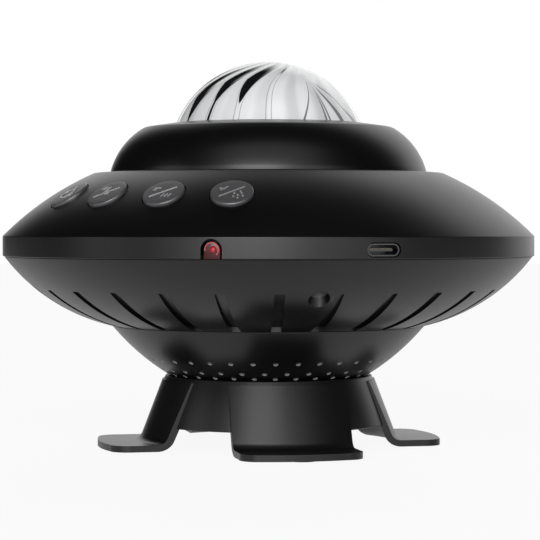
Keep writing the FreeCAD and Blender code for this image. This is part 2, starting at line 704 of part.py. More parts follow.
def lower_shell():
    body = new_body("lower_shell")
    half = wall / 2
    # Well tubes first, cut back outside the middle of the wall
    circles(body, well_places, well_out_r, bottom_z, rim_low_z - bottom_z)
    turned(body, [
        (seam_r - half, rim_low_z),
        (bottom_r - half, bottom_z + half, -(bottom_arc_r - half)),
        (bottom_r - half, bottom_z - half),
        (rim_r + wall, bottom_z - half),
        (rim_r + wall, rim_low_z),
    ], cut=True)
    turned(body, [
        (seam_r, rim_low_z),
        (bottom_r, bottom_z, -bottom_arc_r),
        (flange_in_r, bottom_z),
        (flange_in_r, bottom_z + wall),
        (bottom_r - bottom_inset, bottom_z + wall),
        (seam_r - wall * shell_steep, rim_low_z, bottom_arc_r - wall),
    ])
    circles(body, well_places, well_r, bottom_z - wall, well_top_z - bottom_z + wall, cut=True)
    circles(body, well_places, pass_r, well_top_z - wall, rim_low_z - well_top_z + wall * 2, cut=True)
    circles(body, flange_places, pass_r, bottom_z - wall, wall * 3, cut=True)
    doc.recompute()
    # One groove, cut by a slab whose floor is bowed, then repeated round the shell
    sketch = plane_sketch(body, "groove_floor", "XZ_Plane", turn=groove_azimuth - 90)
    outline(sketch, [
        (groove_start_r, groove_start_z),
        (bottom_r - fit, bottom_z + groove_depth, -groove_arc_r),
        (bottom_r - fit, bottom_z - wall),
        (groove_start_r, bottom_z - wall),
    ])
    groove = pulled(body, sketch, groove_w, cut=True, midplane=True)
    ringed(body, [groove], groove_n)
    return body


def collar_ring():
    body = new_body("collar_ring")
    turned(body, [
        (collar_r - wall, shoulder_z),
        (collar_r, shoulder_z),
        (collar_r, shoulder_z + collar_foot),
        (collar_top_r, collar_edge_z, collar_arc_r),
        (collar_open_r, collar_top_z),
        (collar_open_r, collar_top_z - lip_h),
        (skirt_in_r, collar_top_z - wall),
        (skirt_in_r, flange_top_z),
        (skirt_out_r, flange_top_z),
        (skirt_out_r, collar_edge_z - wall / 2),
        (collar_top_r - wall / 3, collar_edge_z - wall),
        (collar_r - wall, shoulder_z + collar_foot, -(collar_arc_r - wall)),
    ])
    circles(body, collar_places, boss_r, shoulder_z, collar_boss_h)
    circles(body, collar_places, pilot_r, shoulder_z, collar_boss_h - wall / 2, cut=True)
    return body


def dome():
    body = new_body("dome")
    flange_r = dome_r + dome_flange
    inner_r = dome_r - dome_wall
    turned(body, [
        (inner_r, shoulder_z),
        (flange_r, shoulder_z),
        (flange_r, flange_top_z),
        (dome_r, flange_top_z),
        (dome_r, dome_z),
        (Size(0), dome_z + dome_r, dome_r),
        (Size(0), dome_z + inner_r),
        (inner_r, dome_z, -inner_r),
    ])
    return body


def speaker_bowl():
    body = new_body("speaker_bowl_body")
    top_z = bottom_z
    half = wall / 2
    # The flange's bosses come first and are cut back to the middle of the bowl's wall
    circles(body, flange_places, boss_r, top_z - bowl_grip - wall, bowl_grip + half)
    turned(body, [
        (bowl_low_r - wall * shell_steep / 4, bowl_low_z + half),
        (bottom_r - wall * shell_steep / 2 - bottom_inset * 1.5, top_z - half, bowl_arc_r - half),
        (bottom_r + wall, top_z - half),
        (bottom_r + wall, bowl_low_z + half),
    ], cut=True)
    turned(body, [
        (Size(0), bowl_low_z),
        (bowl_low_r, bowl_low_z),
        (bottom_r - bottom_inset, top_z, bowl_arc_r),
        (flange_in_r, top_z),
        (flange_in_r, top_z - wall),
        (bottom_r - wall * shell_steep - bottom_inset * 2, top_z - wall),
        (bowl_low_r - wall * shell_steep / 2, bowl_low_z + wall, -(bowl_arc_r - wall)),
        (Size(0), bowl_low_z + wall),
    ])
    circles(body, speaker_places, boss_r, bowl_low_z + wall / 2, speaker_z - gasket_t - bowl_low_z - wall / 2)
    circles(body, stand_places, boss_r, bowl_low_z + wall / 2, pilot_h - wall / 2)
    circles(body, speaker_places, pilot_r, speaker_z - gasket_t - pilot_h + wall, pilot_h, cut=True)
    circles(body, stand_places, pilot_r, bowl_low_z - half, pilot_h, cut=True)
    circles(body, flange_places, pilot_r, top_z - bowl_grip - fit, bowl_grip + wall, cut=True)
    tools = []
    for place_r, azimuth, count in perforations:
        centre = arc_centre(V(bowl_low_r.value, bowl_low_z.value, 0),
                            V((bottom_r - bottom_inset).value, bottom_z.value, 0), bowl_arc_r.value)
        across = place_r.value - centre.x
        drop = math.sqrt(bowl_arc_r.value ** 2 - across ** 2)
        lean = 180 - math.degrees(math.atan2(across, drop))
        for step in range(int(count.value)):
            turn = azimuth.value + 360 * step / count.value
            x, y = polar(place_r, Size(turn))
            hole = doc.addObject("Part::Prism", "hole")
            hole.Polygon = 8
            bind(hole, "Circumradius", hole_r)
            bind(hole, "Height", wall * 3)
            tip = FreeCAD.Rotation(UP, turn).multiply(FreeCAD.Rotation(V(1, 0, 0), lean))
            spot = V(x.value, y.value, centre.y - drop) + tip.multVec(V(0, 0, -wall.value * 2))
            hole.Placement = FreeCAD.Placement(spot, tip)
            tools.append(hole)
    return cut("speaker_bowl", body, tools)


def stand():
    body = new_body("stand_body")
    # One arm of the legs' plan, with rounded outer corners on an arc about the axis
    sketch = plane_sketch(body, "arm", "XY_Plane", height=foot_z)
    half = leg_w / 2
    end_y = root(foot_r * foot_r - half * half)
    corner_x = half - foot_corner
    tip_y = root(foot_r * foot_r - corner_x * corner_x)
    outline(sketch, [
        (-half, Size(0)),
        (-half, -(end_y - foot_corner)),
        (-corner_x, -tip_y, foot_corner * 1.05),
        (corner_x, -tip_y, foot_r),
        (half, -(end_y - foot_corner), foot_corner * 1.05),
        (half, Size(0)),
    ])
    arm = pulled(body, sketch, leg_top_z - foot_z)
    doc.recompute()
    ringed(body, [arm], Size(4))
    doc.recompute()
    # The legs' faces: what lies outside and inside the bent strip is turned away
    slant = (leg_low_r - leg_top_r) / (leg_top_z - foot_z)
    across = leg_t * root(1 + slant * slant)
    foot_top = foot_z + leg_t
    top, corner, end = (leg_top_r, leg_top_z), (leg_low_r - slant * leg_t, foot_top), (foot_r, foot_top)
    far = foot_r + wall
    turned(body, [
        (leg_top_r - slant * wall, leg_top_z + wall),
        *rounded(top, corner, end, bend_r),
        (far, foot_top),
        (far, leg_top_z + wall),
    ], cut=True)
    top, corner, end = (leg_top_r - across, leg_top_z), (leg_low_r - across, foot_z), (foot_r, foot_z)
    first, last = rounded(top, corner, end, bend_r + leg_t)
    turned(body, [
        (Size(0), leg_top_z + wall),
        (leg_top_r - across - slant * wall, leg_top_z + wall),
        first,
        last,
        (last[0], foot_z - wall),
        (Size(0), foot_z - wall),
    ], cut=True)
    turned(body, [
        (Size(0), bowl_low_z - drum_wall),
        (drum_top_r - drum_wall, bowl_low_z - drum_wall),
        (drum_low_r - drum_wall, drum_low_z),
        (drum_low_r, drum_low_z),
        (drum_top_r, bowl_low_z),
        (Size(0), bowl_low_z),
    ])
    body.Placement = FreeCAD.Placement(V(0, 0, 0), FreeCAD.Rotation(UP, leg_azimuth.value))
    tools = [cylinder("stand_hole", pass_r, wall * 3, x, y, bowl_low_z - wall * 2) for x, y in stand_places]
    for x, y in pad_places:
        tools.append(cylinder("pad_recess", pad_r + fit / 4, pad_t, x, y, 0))
    return cut("stand", body, tools)


def foot_pads():
    return group("foot_pads", [cylinder("pad", pad_r, pad_t, x, y, 0) for x, y in pad_places])


def buttons():
    made = []
    for name, (azimuth, spot, lean) in zip(reversed(button_names), button_places()):
        body = new_body(f"{name}_button")
        turned(body, [
            (Size(0), Size(0)),
            (button_r + button_lip, Size(0)),
            (button_r + button_lip, button_lip_t),
            (button_r, button_lip_t),
            (button_r, button_depth + button_proud - button_bevel),
            (button_r - button_bevel, button_depth + button_proud),
            (Size(0), button_depth + button_proud),
        ])
        made.append(on_button(body, button_depth, spot, azimuth, lean))
        plunger = cylinder(f"{name}_plunger", plunger_r, plunger_out + plunger_in)
        made.append(on_button(plunger, switch_depth + plunger_in, spot, azimuth, lean))
    return made


def tact_switches():
    made = []
    for azimuth, spot, lean in button_places():
        case = doc.addObject("Part::Box", "switch_case")
        for place, here in (("Length", switch_w), ("Width", switch_w), ("Height", switch_t)):
            bind(case, place, here)
        tip = FreeCAD.Rotation(UP, azimuth).multiply(FreeCAD.Rotation(V(1, 0, 0), lean))
        corner = V(-switch_w.value / 2, -switch_w.value / 2, -(switch_depth + switch_t).value)
        case.Placement = FreeCAD.Placement(spot + tip.multVec(corner), tip)
        well = cylinder("plunger_well", plunger_r + plunger_fit, plunger_in + button_travel * 2)
        on_button(well, switch_depth + plunger_in + button_travel, spot, azimuth, lean)
        made.append(cut("switch", case, [well]))
    return group("tact_switches", made)


def key_strip():
    """A flexible circuit on a printed carrier: part of a cone that lies against the switches' backs."""
    body = new_body("key_strip")
    z, lean = on_saucer(button_place_r.value)
    low = (switch_depth + switch_t).value
    out_x, out_z = math.sin(math.radians(lean)), math.cos(math.radians(lean))
    here = V(button_place_r.value - out_x * low, z - out_z * low, 0)
    half = strip_w.value / 2
    along = V(out_z, -out_x, 0)
    inward = V(-out_x, -out_z, 0) * strip_t.value
    first, last = here - along * half, here + along * half
    corners = [first + inward, last + inward, last, first]
    sketch = plane_sketch(body, "strip", "XZ_Plane", turn=strip_turn)
    outline(sketch, [(Size(p.x), Size(p.y)) for p in corners])
    feature = body.newObject("PartDesign::Revolution", "strip")
    feature.Profile = sketch
    feature.ReferenceAxis = (sketch, ["V_Axis"])
    bind(feature, "Angle", strip_span)
    feature.Midplane = True
    return body


def ir_window():
    inner = arch_points(ir_w - fit * 2, ir_h - fit * 2)
    lens = front_piece("window_lens", inner, wall + window_out)
    face_out(lens, ir_azimuth, saucer_in_r - window_in, rim_low_z)
    back = front_piece("window_back", arch_points(ir_w + wall, ir_h - wall / 2), window_in - fit * 2)
    face_out(back, ir_azimuth, saucer_in_r - window_in, rim_low_z)
    return joined("ir_window", [lens, back])


def ir_receiver():
    case = front_piece("receiver_case", arch_points(receiver_w, receiver_h), receiver_t)
    case.Label = "ir_receiver"
    return face_out(case, ir_azimuth, receiver_back_r, port_board_z + board_t)


def usb_socket():
    body = front_piece("usb_socket", slot_points(port_w, port_h), port_l)
    sketch = plane_sketch(body, "mouth", "XZ_Plane")
    outline(sketch, slot_points(port_w - port_skin * 2, port_h - port_skin * 2))
    sketch.AttachmentOffset = FreeCAD.Placement(V(0, 0, (port_l / 8).value), FreeCAD.Rotation())
    sketch.setExpression("AttachmentOffset.Base.z", (port_l / 8).text)
    pulled(body, sketch, port_l, cut=True, reverse=True)
    tongue = plane_sketch(body, "tongue", "XZ_Plane")
    half_w, half_t = tongue_w / 2, tongue_t / 2
    outline(tongue, [(-half_w, -half_t), (half_w, -half_t), (half_w, half_t), (-half_w, half_t)])
    pulled(body, tongue, port_l * 0.8)
    return face_out(body, port_azimuth, rim_r - port_in - port_l, port_z)


def port_board():
    body = new_body("port_board_blank")
    middle = (ir_azimuth + port_azimuth) / 2
    sketch = plane_sketch(body, "section", "XZ_Plane", turn=middle - 90)
    top = port_board_z + board_t
    outline(sketch, [(port_board_in, port_board_z), (port_board_out, port_board_z), (port_board_out, top),
                     (port_board_in, top)])
    feature = body.newObject("PartDesign::Revolution", "board")
    feature.Profile = sketch
    feature.ReferenceAxis = (sketch, ["V_Axis"])
    bind(feature, "Angle", port_azimuth - ir_azimuth + port_board_side * 2)
    feature.Midplane = True
    tools = [cylinder("well_pass", well_out_r + fit * 2, wall * 4, *well_places[0], port_board_z - wall)]
    tools += [cylinder("hole", pass_r, wall * 4, x, y, port_board_z - wall) for x, y in port_posts]
    return cut("port_board", body, tools)


def chassis():
    plate = cylinder("plate", chassis_r, chassis_t, 0, 0, chassis_z)
    posts = [cylinder("standoff", boss_r, standoff, x, y, chassis_z - standoff) for x, y in main_places]
    holes = [cylinder("sink_hole", fin_r + fit * 2, wall * 3, 0, 0, chassis_z - wall),
             cylinder("motor_hole", motor_boss_r + fit, wall * 3, *motor_place, chassis_z - wall)]
    holes += [cylinder("hole", pass_r, wall * 3, x, y, chassis_z - wall) for x, y in chassis_places]
    holes += [cylinder("hole", pass_r, wall * 3, x, y, chassis_z - wall) for x, y in motor_screw_places]
    holes += [cylinder("pilot", pilot_r, standoff - fit, x, y, chassis_z - standoff) for x, y in main_places]
    return cut("chassis", joined("chassis_blank", [plate, *posts]), holes)


def heat_sink():
    plate = cylinder("sink_plate", sink_r, sink_t, 0, 0, chassis_top)
    core = cylinder("sink_core", fin_r, fin_h, 0, 0, chassis_top - fin_h)
    gaps = []
    for step in (-3, -2, -1, 1, 2, 3):
        middle = fin_pitch * (step - 0.5 * (1 if step > 0 else -1))
        gaps.append(block("fin_gap", fin_pitch - fin_t, fin_r * 3, fin_h - wall, middle, 0,
                          chassis_top - fin_h - wall))
    bore = cylinder("bore", laser_r + bore_fit, wall * 12, 0, 0, chassis_top - wall * 8)
    return cut("heat_sink", joined("sink_blank", [plate, core]), [*gaps, bore])


def led_board():
    disc = cylinder("led_disc", led_board_r, led_board_t, 0, 0, led_board_z)
    return cut("led_board", disc, [cylinder("bore", laser_r + bore_fit, wall * 2, 0, 0, led_board_z - 1)])


def leds():
    return group("leds", [block("led", led_w, led_w, led_t, x, y, led_z) for x, y in led_places])


def led_lens():
    """A clear plate with a domed lens over each LED, on a skirt that stands on the LED board."""
    outer_r = led_board_r - fit
    skirt = cylinder("skirt", outer_r, lens_plate_z + lens_plate_t, 0, 0, led_z)
    hollow = cylinder("hollow", outer_r - 1, lens_plate_z, 0, 0, led_z)
    shell = cut("lens_shell", skirt, [hollow])
    ball_r = (lens_r * lens_r + lens_rise * lens_rise) / (2 * lens_rise)
    domes = []
    for x, y in led_places:
        ball = doc.addObject("Part::Sphere", "ball")
        bind(ball, "Radius", ball_r)
        put(ball, x, y, lens_plate_top + lens_rise - ball_r)
        keep = cylinder("keep", lens_r * 2, lens_rise * 2, x, y, lens_plate_top - lens_plate_t / 2)
        domed = doc.addObject("Part::Common", "lens")
        domed.Base = ball
        domed.Tool = keep
        domes.append(domed)
    bore = cylinder("bore", post_r + fit, wall * 4, 0, 0, led_z)
    return cut("led_lens", joined("lens_blank", [shell, *domes]), [bore])


def wheel_post():
    body = new_body("wheel_post")
    turned(body, [
        (laser_r + bore_fit, led_z),
        (post_r, led_z),
        (post_r, shoulder_top_z - post_shoulder_t),
        (post_shoulder_r, shoulder_top_z - post_shoulder_t),
        (post_shoulder_r, shoulder_top_z),
        (post_r, shoulder_top_z),
        (post_r, post_top_z),
        (laser_r + bore_fit, post_top_z),
    ])
    return body


def toothed(body, teeth, low, thick):
    """One trapezoid tooth at +X, padded and repeated round the axis."""
    pitch = tooth_module * teeth / 2
    root_r, tip_r = pitch - tooth_module * 1.25, pitch + tooth_module
    sketch = plane_sketch(body, "tooth", "XY_Plane", height=low)
    at_pitch = tooth_module * math.pi / 4 - backlash / 2
    at_root = at_pitch + tooth_module * 0.42
    at_tip = at_pitch - tooth_module * 0.36
    outline(sketch, [
        (root_r - tooth_module, -at_root), (root_r, -at_root), (pitch, -at_pitch), (tip_r, -at_tip),
        (tip_r, at_tip), (pitch, at_pitch), (root_r, at_root), (root_r - tooth_module, at_root)])
    tooth = pulled(body, sketch, thick)
    doc.recompute()
    ringed(body, [tooth], teeth)
    doc.recompute()


def ripple_wheel():
    body = new_body("ripple_wheel")
    root_r = wheel_pitch_r - tooth_module * 1.25
    rim_in = root_r - gear_web
    web_z = gear_z + (gear_t - web_t) / 2
    turned(body, [
        (post_r + bore_fit, wheel_z),
        (hub_r, wheel_z),
        (hub_r, web_z),
        (rim_in, web_z),
        (rim_in, gear_z),
        (root_r, gear_z),
        (root_r, gear_z + gear_t),
        (rim_in, gear_z + gear_t),
        (rim_in, web_z + web_t),
        (hub_r, web_z + web_t),
        (hub_r, wheel_z + hub_h),
        (post_r + bore_fit, wheel_z + hub_h),
    ])
    toothed(body, wheel_teeth, gear_z, gear_t)
    # Ripples: bowed ribs on the web
    sketch = plane_sketch(body, "ripple", "XY_Plane", height=web_z + web_t)
    outline(sketch, [
        (hub_r - fit, -ripple_w / 2), (rim_in + fit, ripple_w * 1.5, rim_in),
        (rim_in + fit, ripple_w * 2.5), (hub_r - fit, ripple_w / 2, -rim_in)])
    rib = pulled(body, sketch, ripple_h)
    doc.recompute()
    ringed(body, [rib], ripple_n)
    turn = front_turn(motor_azimuth)
    body.Placement = FreeCAD.Placement(V(0, 0, 0), FreeCAD.Rotation(UP, turn.value))
    return body


def motor_pinion():
    body = new_body("motor_pinion")
    root_r = pinion_pitch_r - tooth_module * 1.25
    bore = shaft_r + fit / 10
    turned(body, [(bore, pinion_z), (root_r, pinion_z), (root_r, pinion_z + pinion_t), (bore, pinion_z + pinion_t)])
    toothed(body, pinion_teeth, pinion_z, pinion_t)
    half_tooth = 180 / pinion_teeth.value
    turn = front_turn(motor_azimuth).value + half_tooth
    x, y = motor_place
    body.Placement = FreeCAD.Placement(V(x.value, y.value, 0), FreeCAD.Rotation(UP, turn))
    return body


def motor():
    can = cylinder("can", motor_r, motor_h, *motor_place, motor_low)
    boss = cylinder("motor_boss", motor_boss_r, chassis_t, *motor_place, chassis_z)
    ears = [cylinder("ear", boss_r, chassis_t, x, y, chassis_z - chassis_t) for x, y in motor_screw_places]
    bar = block("ear_bar", boss_r * 1.6, motor_ear_x * 2, chassis_t, 0, 0, chassis_z - chassis_t)
    x, y = motor_place
    turn = FreeCAD.Rotation(UP, front_turn(motor_azimuth).value)
    corner = turn.multVec(V(-boss_r.value * 0.8, -motor_ear_x.value, 0))
    freed(bar)
    base = V(x.value, y.value, (chassis_z - chassis_t).value) + corner
    bar.Placement = FreeCAD.Placement(base, turn)
    bore = cylinder("bore", shaft_r + bore_fit, wall * 12, x, y, chassis_top - shaft_in - chassis_t)
    pilots = [cylinder("pilot", pilot_r, wall * 3, a, b, chassis_z - wall * 2) for a, b in motor_screw_places]
    return cut("motor", joined("motor_blank", [can, boss, bar, *ears]), [bore, *pilots])


def motor_shaft():
    low = chassis_top - shaft_in
    return cylinder("motor_shaft", shaft_r, pinion_z + pinion_t - low + fit, *motor_place, low)


def laser_module():
    return cylinder("laser_module", laser_r, laser_l, 0, 0, post_top_z - fit - laser_l)


def grating_cap():
    body = new_body("grating_cap")
    seat = post_top_z + cap_t - grating_t
    turned(body, [
        (window_r, post_top_z), (cap_r, post_top_z), (cap_r, post_top_z + cap_t),
        (grating_r + fit / 2, post_top_z + cap_t), (grating_r + fit / 2, seat), (window_r, seat)])
    return body


def star_grating():
    return cylinder("star_grating", grating_r, grating_t, 0, 0, post_top_z + cap_t - grating_t)


def speaker_frame():
    body = new_body("speaker_frame_body")
    mouth = cone_r + 1
    turned(body, [
        (mouth, speaker_z),
        (speaker_r, speaker_z),
        (speaker_r, speaker_z + flange_t),
        (mouth + flange_t / 2, speaker_z + flange_t),
        (frame_low_r, basket_z),
        (coil_r + cone_play, basket_z),
        (coil_r + cone_play, basket_z - flange_t),
        (frame_low_r - flange_t, basket_z - flange_t),
        (mouth - flange_t / 4, speaker_z + flange_t),
    ])
    holes = [cylinder("hole", pass_r, flange_t * 3, x, y, speaker_z - flange_t) for x, y in speaker_places]
    for step in range(4):
        window = cylinder("basket_window", window_w / 2, frame_h / 2 + flange_t,
                          *polar(frame_low_r + 2, Size(90 * step)), speaker_z + flange_t * 2)
        holes.append(window)
    return cut("speaker_frame", body, holes)


def speaker_magnet():
    ring = cylinder("magnet_ring", magnet_r, magnet_t, 0, 0, basket_z)
    slot = cylinder("magnet_gap", coil_r + cone_play, magnet_t - flange_t, 0, 0, basket_z)
    pole = cylinder("pole", coil_r - cone_t - cone_play, magnet_t, 0, 0, basket_z)
    return joined("speaker_magnet", [cut("magnet_bored", ring, [slot]), pole])


def speaker_cone():
    body = new_body("speaker_cone")
    low = speaker_z + cone_play + cone_t
    coil_top = basket_z + magnet_t / 3
    turned(body, [
        (Size(0), low + cone_h - cone_t * 3),
        (coil_r - cone_t, low + cone_h - cone_t),
        (cone_r, low),
        (cone_r, low + cone_t),
        (coil_r, low + cone_h),
        (coil_r, coil_top),
        (coil_r - cone_t, coil_top),
        (coil_r - cone_t, low + cone_h),
        (Size(0), low + cone_h - cone_t * 2),
    ])
    return body


def speaker_gasket():
    ring = cylinder("gasket_ring", speaker_r, gasket_t, 0, 0, speaker_z - gasket_t)
    holes = [cylinder("hole", pass_r, gasket_t * 3, x, y, speaker_z - gasket_t * 2) for x, y in speaker_places]
    return cut("speaker_gasket", ring, [cylinder("mouth", cone_r + 1, gasket_t * 3, 0, 0,
                                                 speaker_z - gasket_t * 2), *holes])


def main_board():
    plate = block("main_plate", main_w, main_l, board_t, -main_x, 0, chassis_z - standoff - board_t)
    low = chassis_z - standoff - board_t * 2
    chip_w = main_w / 3
    chip = block("main_chip", chip_w, chip_w, board_t, -main_x, main_l / 6, low)
    jack = block("main_socket", chip_w, chip_w / 2, board_t * 2, -main_x, -main_l / 5, low - board_t)
    holes = [cylinder("hole", pass_r, board_t * 3, x, y, low) for x, y in main_places]
    return cut("main_board", joined("main_blank", [plate, chip, jack]), holes)


def fasteners():
    length = pilot_h - fit * 5
    return [
        screws("shell_screws", well_places, well_top_z, rim_low_z - well_top_z + length),
        screws("collar_screws", collar_places, shoulder_low, collar_boss_h),
        screws("chassis_screws", chassis_places, chassis_z, chassis_t + length),
        screws("motor_screws", motor_screw_places, chassis_top, chassis_t * 2, up=False),
        screws("bowl_screws", flange_places, bottom_z + wall, wall + bowl_grip, up=False),
        screws("speaker_screws", speaker_places, speaker_z + flange_t, flange_t + gasket_t + length - wall,
               up=False),
        screws("stand_screws", stand_places, bowl_low_z - drum_wall, drum_wall + length - wall),
        screws("port_screws", port_posts, port_board_z, board_t + length),
        screws("board_screws", main_places, chassis_z - standoff - board_t, board_t + standoff - fit * 3),
    ]


nodes = [make() for make in (
    upper_shell, lower_shell, collar_ring, dome, speaker_bowl, stand, foot_pads, tact_switches, key_strip,
    ir_window, ir_receiver, usb_socket, port_board, main_board, chassis, heat_sink, led_board, leds,
    led_lens, wheel_post, ripple_wheel, motor, motor_shaft, motor_pinion, laser_module, grating_cap,
    star_grating, speaker_frame, speaker_magnet, speaker_cone, speaker_gasket)]
nodes += buttons() + fasteners()

doc.recompute()
failed = [thing.Label for thing in doc.Objects if "Invalid" in thing.State or "Error" in thing.State]
if failed:
    raise RuntimeError(f"failed: {failed}")
os.makedirs("parts", exist_ok=True)
for node in nodes:
    shape = node.Shape
    if shape.isNull() or not shape.isValid() or not shape.Solids:
        raise RuntimeError(f"{node.Label} has no valid shape")
    shape.exportStep(f"parts/{node.Label}.step")
    box = shape.BoundBox
    print(f"{node.Label:16s} {len(shape.Solids)} solids {shape.Volume / 1000:8.2f} cm3"
          f"  z {box.ZMin:6.2f} {box.ZMax:6.2f}")
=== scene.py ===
"""Looks of the star night light projector: smooth shells, ribbed dome, keys, ports and the stage.

Lengths are in metres in the CAD frame: +Z up, -Y the front, origin on the floor under the dome's axis.
Azimuths are measured from the front towards +X.
"""

import math

import bmesh
import bpy
from bpy.props import FloatProperty, FloatVectorProperty, IntProperty, PointerProperty
from mathutils import Matrix, Vector


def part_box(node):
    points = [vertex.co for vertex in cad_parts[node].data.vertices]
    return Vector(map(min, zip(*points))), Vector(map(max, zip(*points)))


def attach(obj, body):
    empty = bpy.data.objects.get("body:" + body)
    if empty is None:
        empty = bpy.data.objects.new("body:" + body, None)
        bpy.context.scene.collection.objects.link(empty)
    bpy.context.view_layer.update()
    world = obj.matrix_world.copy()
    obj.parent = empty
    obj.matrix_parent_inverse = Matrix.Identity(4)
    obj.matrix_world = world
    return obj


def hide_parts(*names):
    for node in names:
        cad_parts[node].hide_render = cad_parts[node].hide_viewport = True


bl_info = {
    "name": "Star projector looks",
    "version": (1, 0, 0),
    "blender": (4, 5, 0),
    "location": "View3D > Sidebar > Projector",
    "description": "Builds the visible pieces of a saucer-shaped star projector round its CAD frame",
    "category": "Object",
}

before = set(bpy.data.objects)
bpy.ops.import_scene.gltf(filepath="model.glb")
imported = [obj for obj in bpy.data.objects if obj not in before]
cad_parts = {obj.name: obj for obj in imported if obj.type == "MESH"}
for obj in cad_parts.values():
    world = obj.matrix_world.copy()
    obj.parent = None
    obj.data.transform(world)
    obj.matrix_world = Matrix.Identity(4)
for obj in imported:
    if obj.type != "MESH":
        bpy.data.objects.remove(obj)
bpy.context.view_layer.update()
MM = 0.001
FULL_TURN = 2 * math.pi

SHELL_LOW, SHELL_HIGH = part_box("upper_shell")
DOME_LOW, DOME_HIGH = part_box("dome")
STAND_LOW, STAND_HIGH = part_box("stand")
BOWL_LOW, BOWL_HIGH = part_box("speaker_bowl")
KEYS = ("volume", "music", "mode", "power")


def length(name, words, default):
    return FloatProperty(name=name, description=words, default=default, unit="LENGTH", precision=5)


def turn(name, words, default):
    return FloatProperty(name=name, description=words, default=math.radians(default), subtype="ANGLE")


def colour(name, words, default):
    return FloatVectorProperty(name=name, description=words, default=default, size=3, subtype="COLOR",
                               min=0, max=1)


class SaucerSizes(bpy.types.PropertyGroup):
    rim: length("Rim radius", "Outer radius of the rim band", SHELL_HIGH.x)
    seam: length("Seam height", "Height of the seam under the rim band", SHELL_LOW.z)
    band: length("Band height", "Height of the rim band", 5.6 * MM)
    shoulder: length("Shoulder radius", "Where the flat shoulder meets the saucer top", 49.5 * MM)
    top: length("Shoulder height", "Height of the shoulder", SHELL_HIGH.z)
    top_bulge: length("Top bulge", "Radius of the saucer top's section", 83.4 * MM)
    neck: length("Neck radius", "Radius of the hole under the dome", 27 * MM)
    wall: length("Wall", "Wall of the shells", 2 * MM)
    seam_step: length("Seam step", "Step in from the band to the lower shell", 0.4 * MM)
    bottom: length("Bottom radius", "Radius of the lower shell's bottom edge", 44.7 * MM)
    bottom_z: length("Bottom height", "Height of the lower shell's bottom edge", BOWL_HIGH.z)
    bottom_bulge: length("Bottom bulge", "Radius of the underside's section", 52.2 * MM)
    soft: length("Edge radius", "Softness of moulded edges", 0.25 * MM)
    groove_count: IntProperty(name="Grooves", description="Radial grooves under the saucer", default=27)
    groove_width: length("Groove width", "Width of a radial groove", 2.7 * MM)
    groove_azimuth: turn("Groove azimuth", "Azimuth of the first groove", 2.5)
    well_azimuth: turn("Well azimuth", "Azimuth of the front screw well", 11.6)
    well_place: length("Well place", "Distance of the screw wells from the axis", 64.2 * MM)
    well: length("Well radius", "Radius of a screw well", 2.8 * MM)


class DomeSizes(bpy.types.PropertyGroup):
    radius: length("Dome radius", "Outer radius of the dome", 28.5 * MM)
    centre: length("Dome centre", "Height of the dome's centre", DOME_HIGH.z - 28.5 * MM)
    wall: length("Dome wall", "Wall of the dome", 2.5 * MM)
    ribs: IntProperty(name="Ribs", description="Swirl ribs round the dome", default=18)
    twist: turn("Twist", "Turn of a rib from the dome's foot to its top", 60)
    twist_power: FloatProperty(name="Twist power", description="How late the ribs turn", default=9)
    relief: length("Relief", "Height of the ribs", 0.35 * MM)
    # The clear colour is painted light seen through the clear wall, and the dark colour is painted shade
    light: colour("Clear colour", "Colour of the lit flutes", (0.8, 0.81, 0.82))
    dark: colour("Dark colour", "Colour of the dark slivers", (0.006, 0.006, 0.007))


class CollarSizes(bpy.types.PropertyGroup):
    foot: length("Foot radius", "Outer radius of the collar's foot", 44.65 * MM)
    edge: length("Edge radius", "Radius of the collar's upper edge", 35.2 * MM)
    edge_z: length("Edge height", "Height of the collar's upper edge", 90 * MM)
    rise: length("Rise", "Rise from the edge to the dome", 1.2 * MM)
    bulge: length("Bulge", "Radius of the collar's side", 20.3 * MM)
    gap: length("Dome gap", "Gap between collar and dome", 0.5 * MM)


class KeySizes(bpy.types.PropertyGroup):
    radius: length("Key radius", "Radius of a key", 5.65 * MM)
    place: length("Key place", "Distance of the keys from the axis", 61.5 * MM)
    azimuth: turn("Key azimuth", "Azimuth of the key nearest the front", -8.7)
    step: turn("Key step", "Azimuth between keys", 17.4)
    proud: length("Proud", "How far a key stands out", 0.6 * MM)
    gap: length("Key gap", "Gap round a key", 0.3 * MM)
    mark: length("Mark relief", "Height of the signs on the keys", 0.2 * MM)
    face: colour("Key colour", "Colour of the keys", (0.15, 0.15, 0.156))
    # The signs are an even paler grey all over, sides and tops alike
    sign: colour("Sign colour", "Colour of the signs' worn tops", (0.62, 0.62, 0.63))


class PortSizes(bpy.types.PropertyGroup):
    window_azimuth: turn("Window azimuth", "Azimuth of the infrared window", -11)
    window_width: length("Window width", "Width of the window's notch", 5.5 * MM)
    window_height: length("Window height", "Height of the window's notch", 5.2 * MM)
    socket_azimuth: turn("Socket azimuth", "Azimuth of the socket", 22.9)
    socket_z: length("Socket height", "Height of the socket's centre", 56.1 * MM)
    socket_width: length("Socket width", "Width of the recess round the socket", 9.54 * MM)
    socket_height: length("Socket depth", "Height of the recess round the socket", 3.8 * MM)
    red: colour("Window colour", "Colour of the infrared window", (0.05, 0.0006, 0.001))


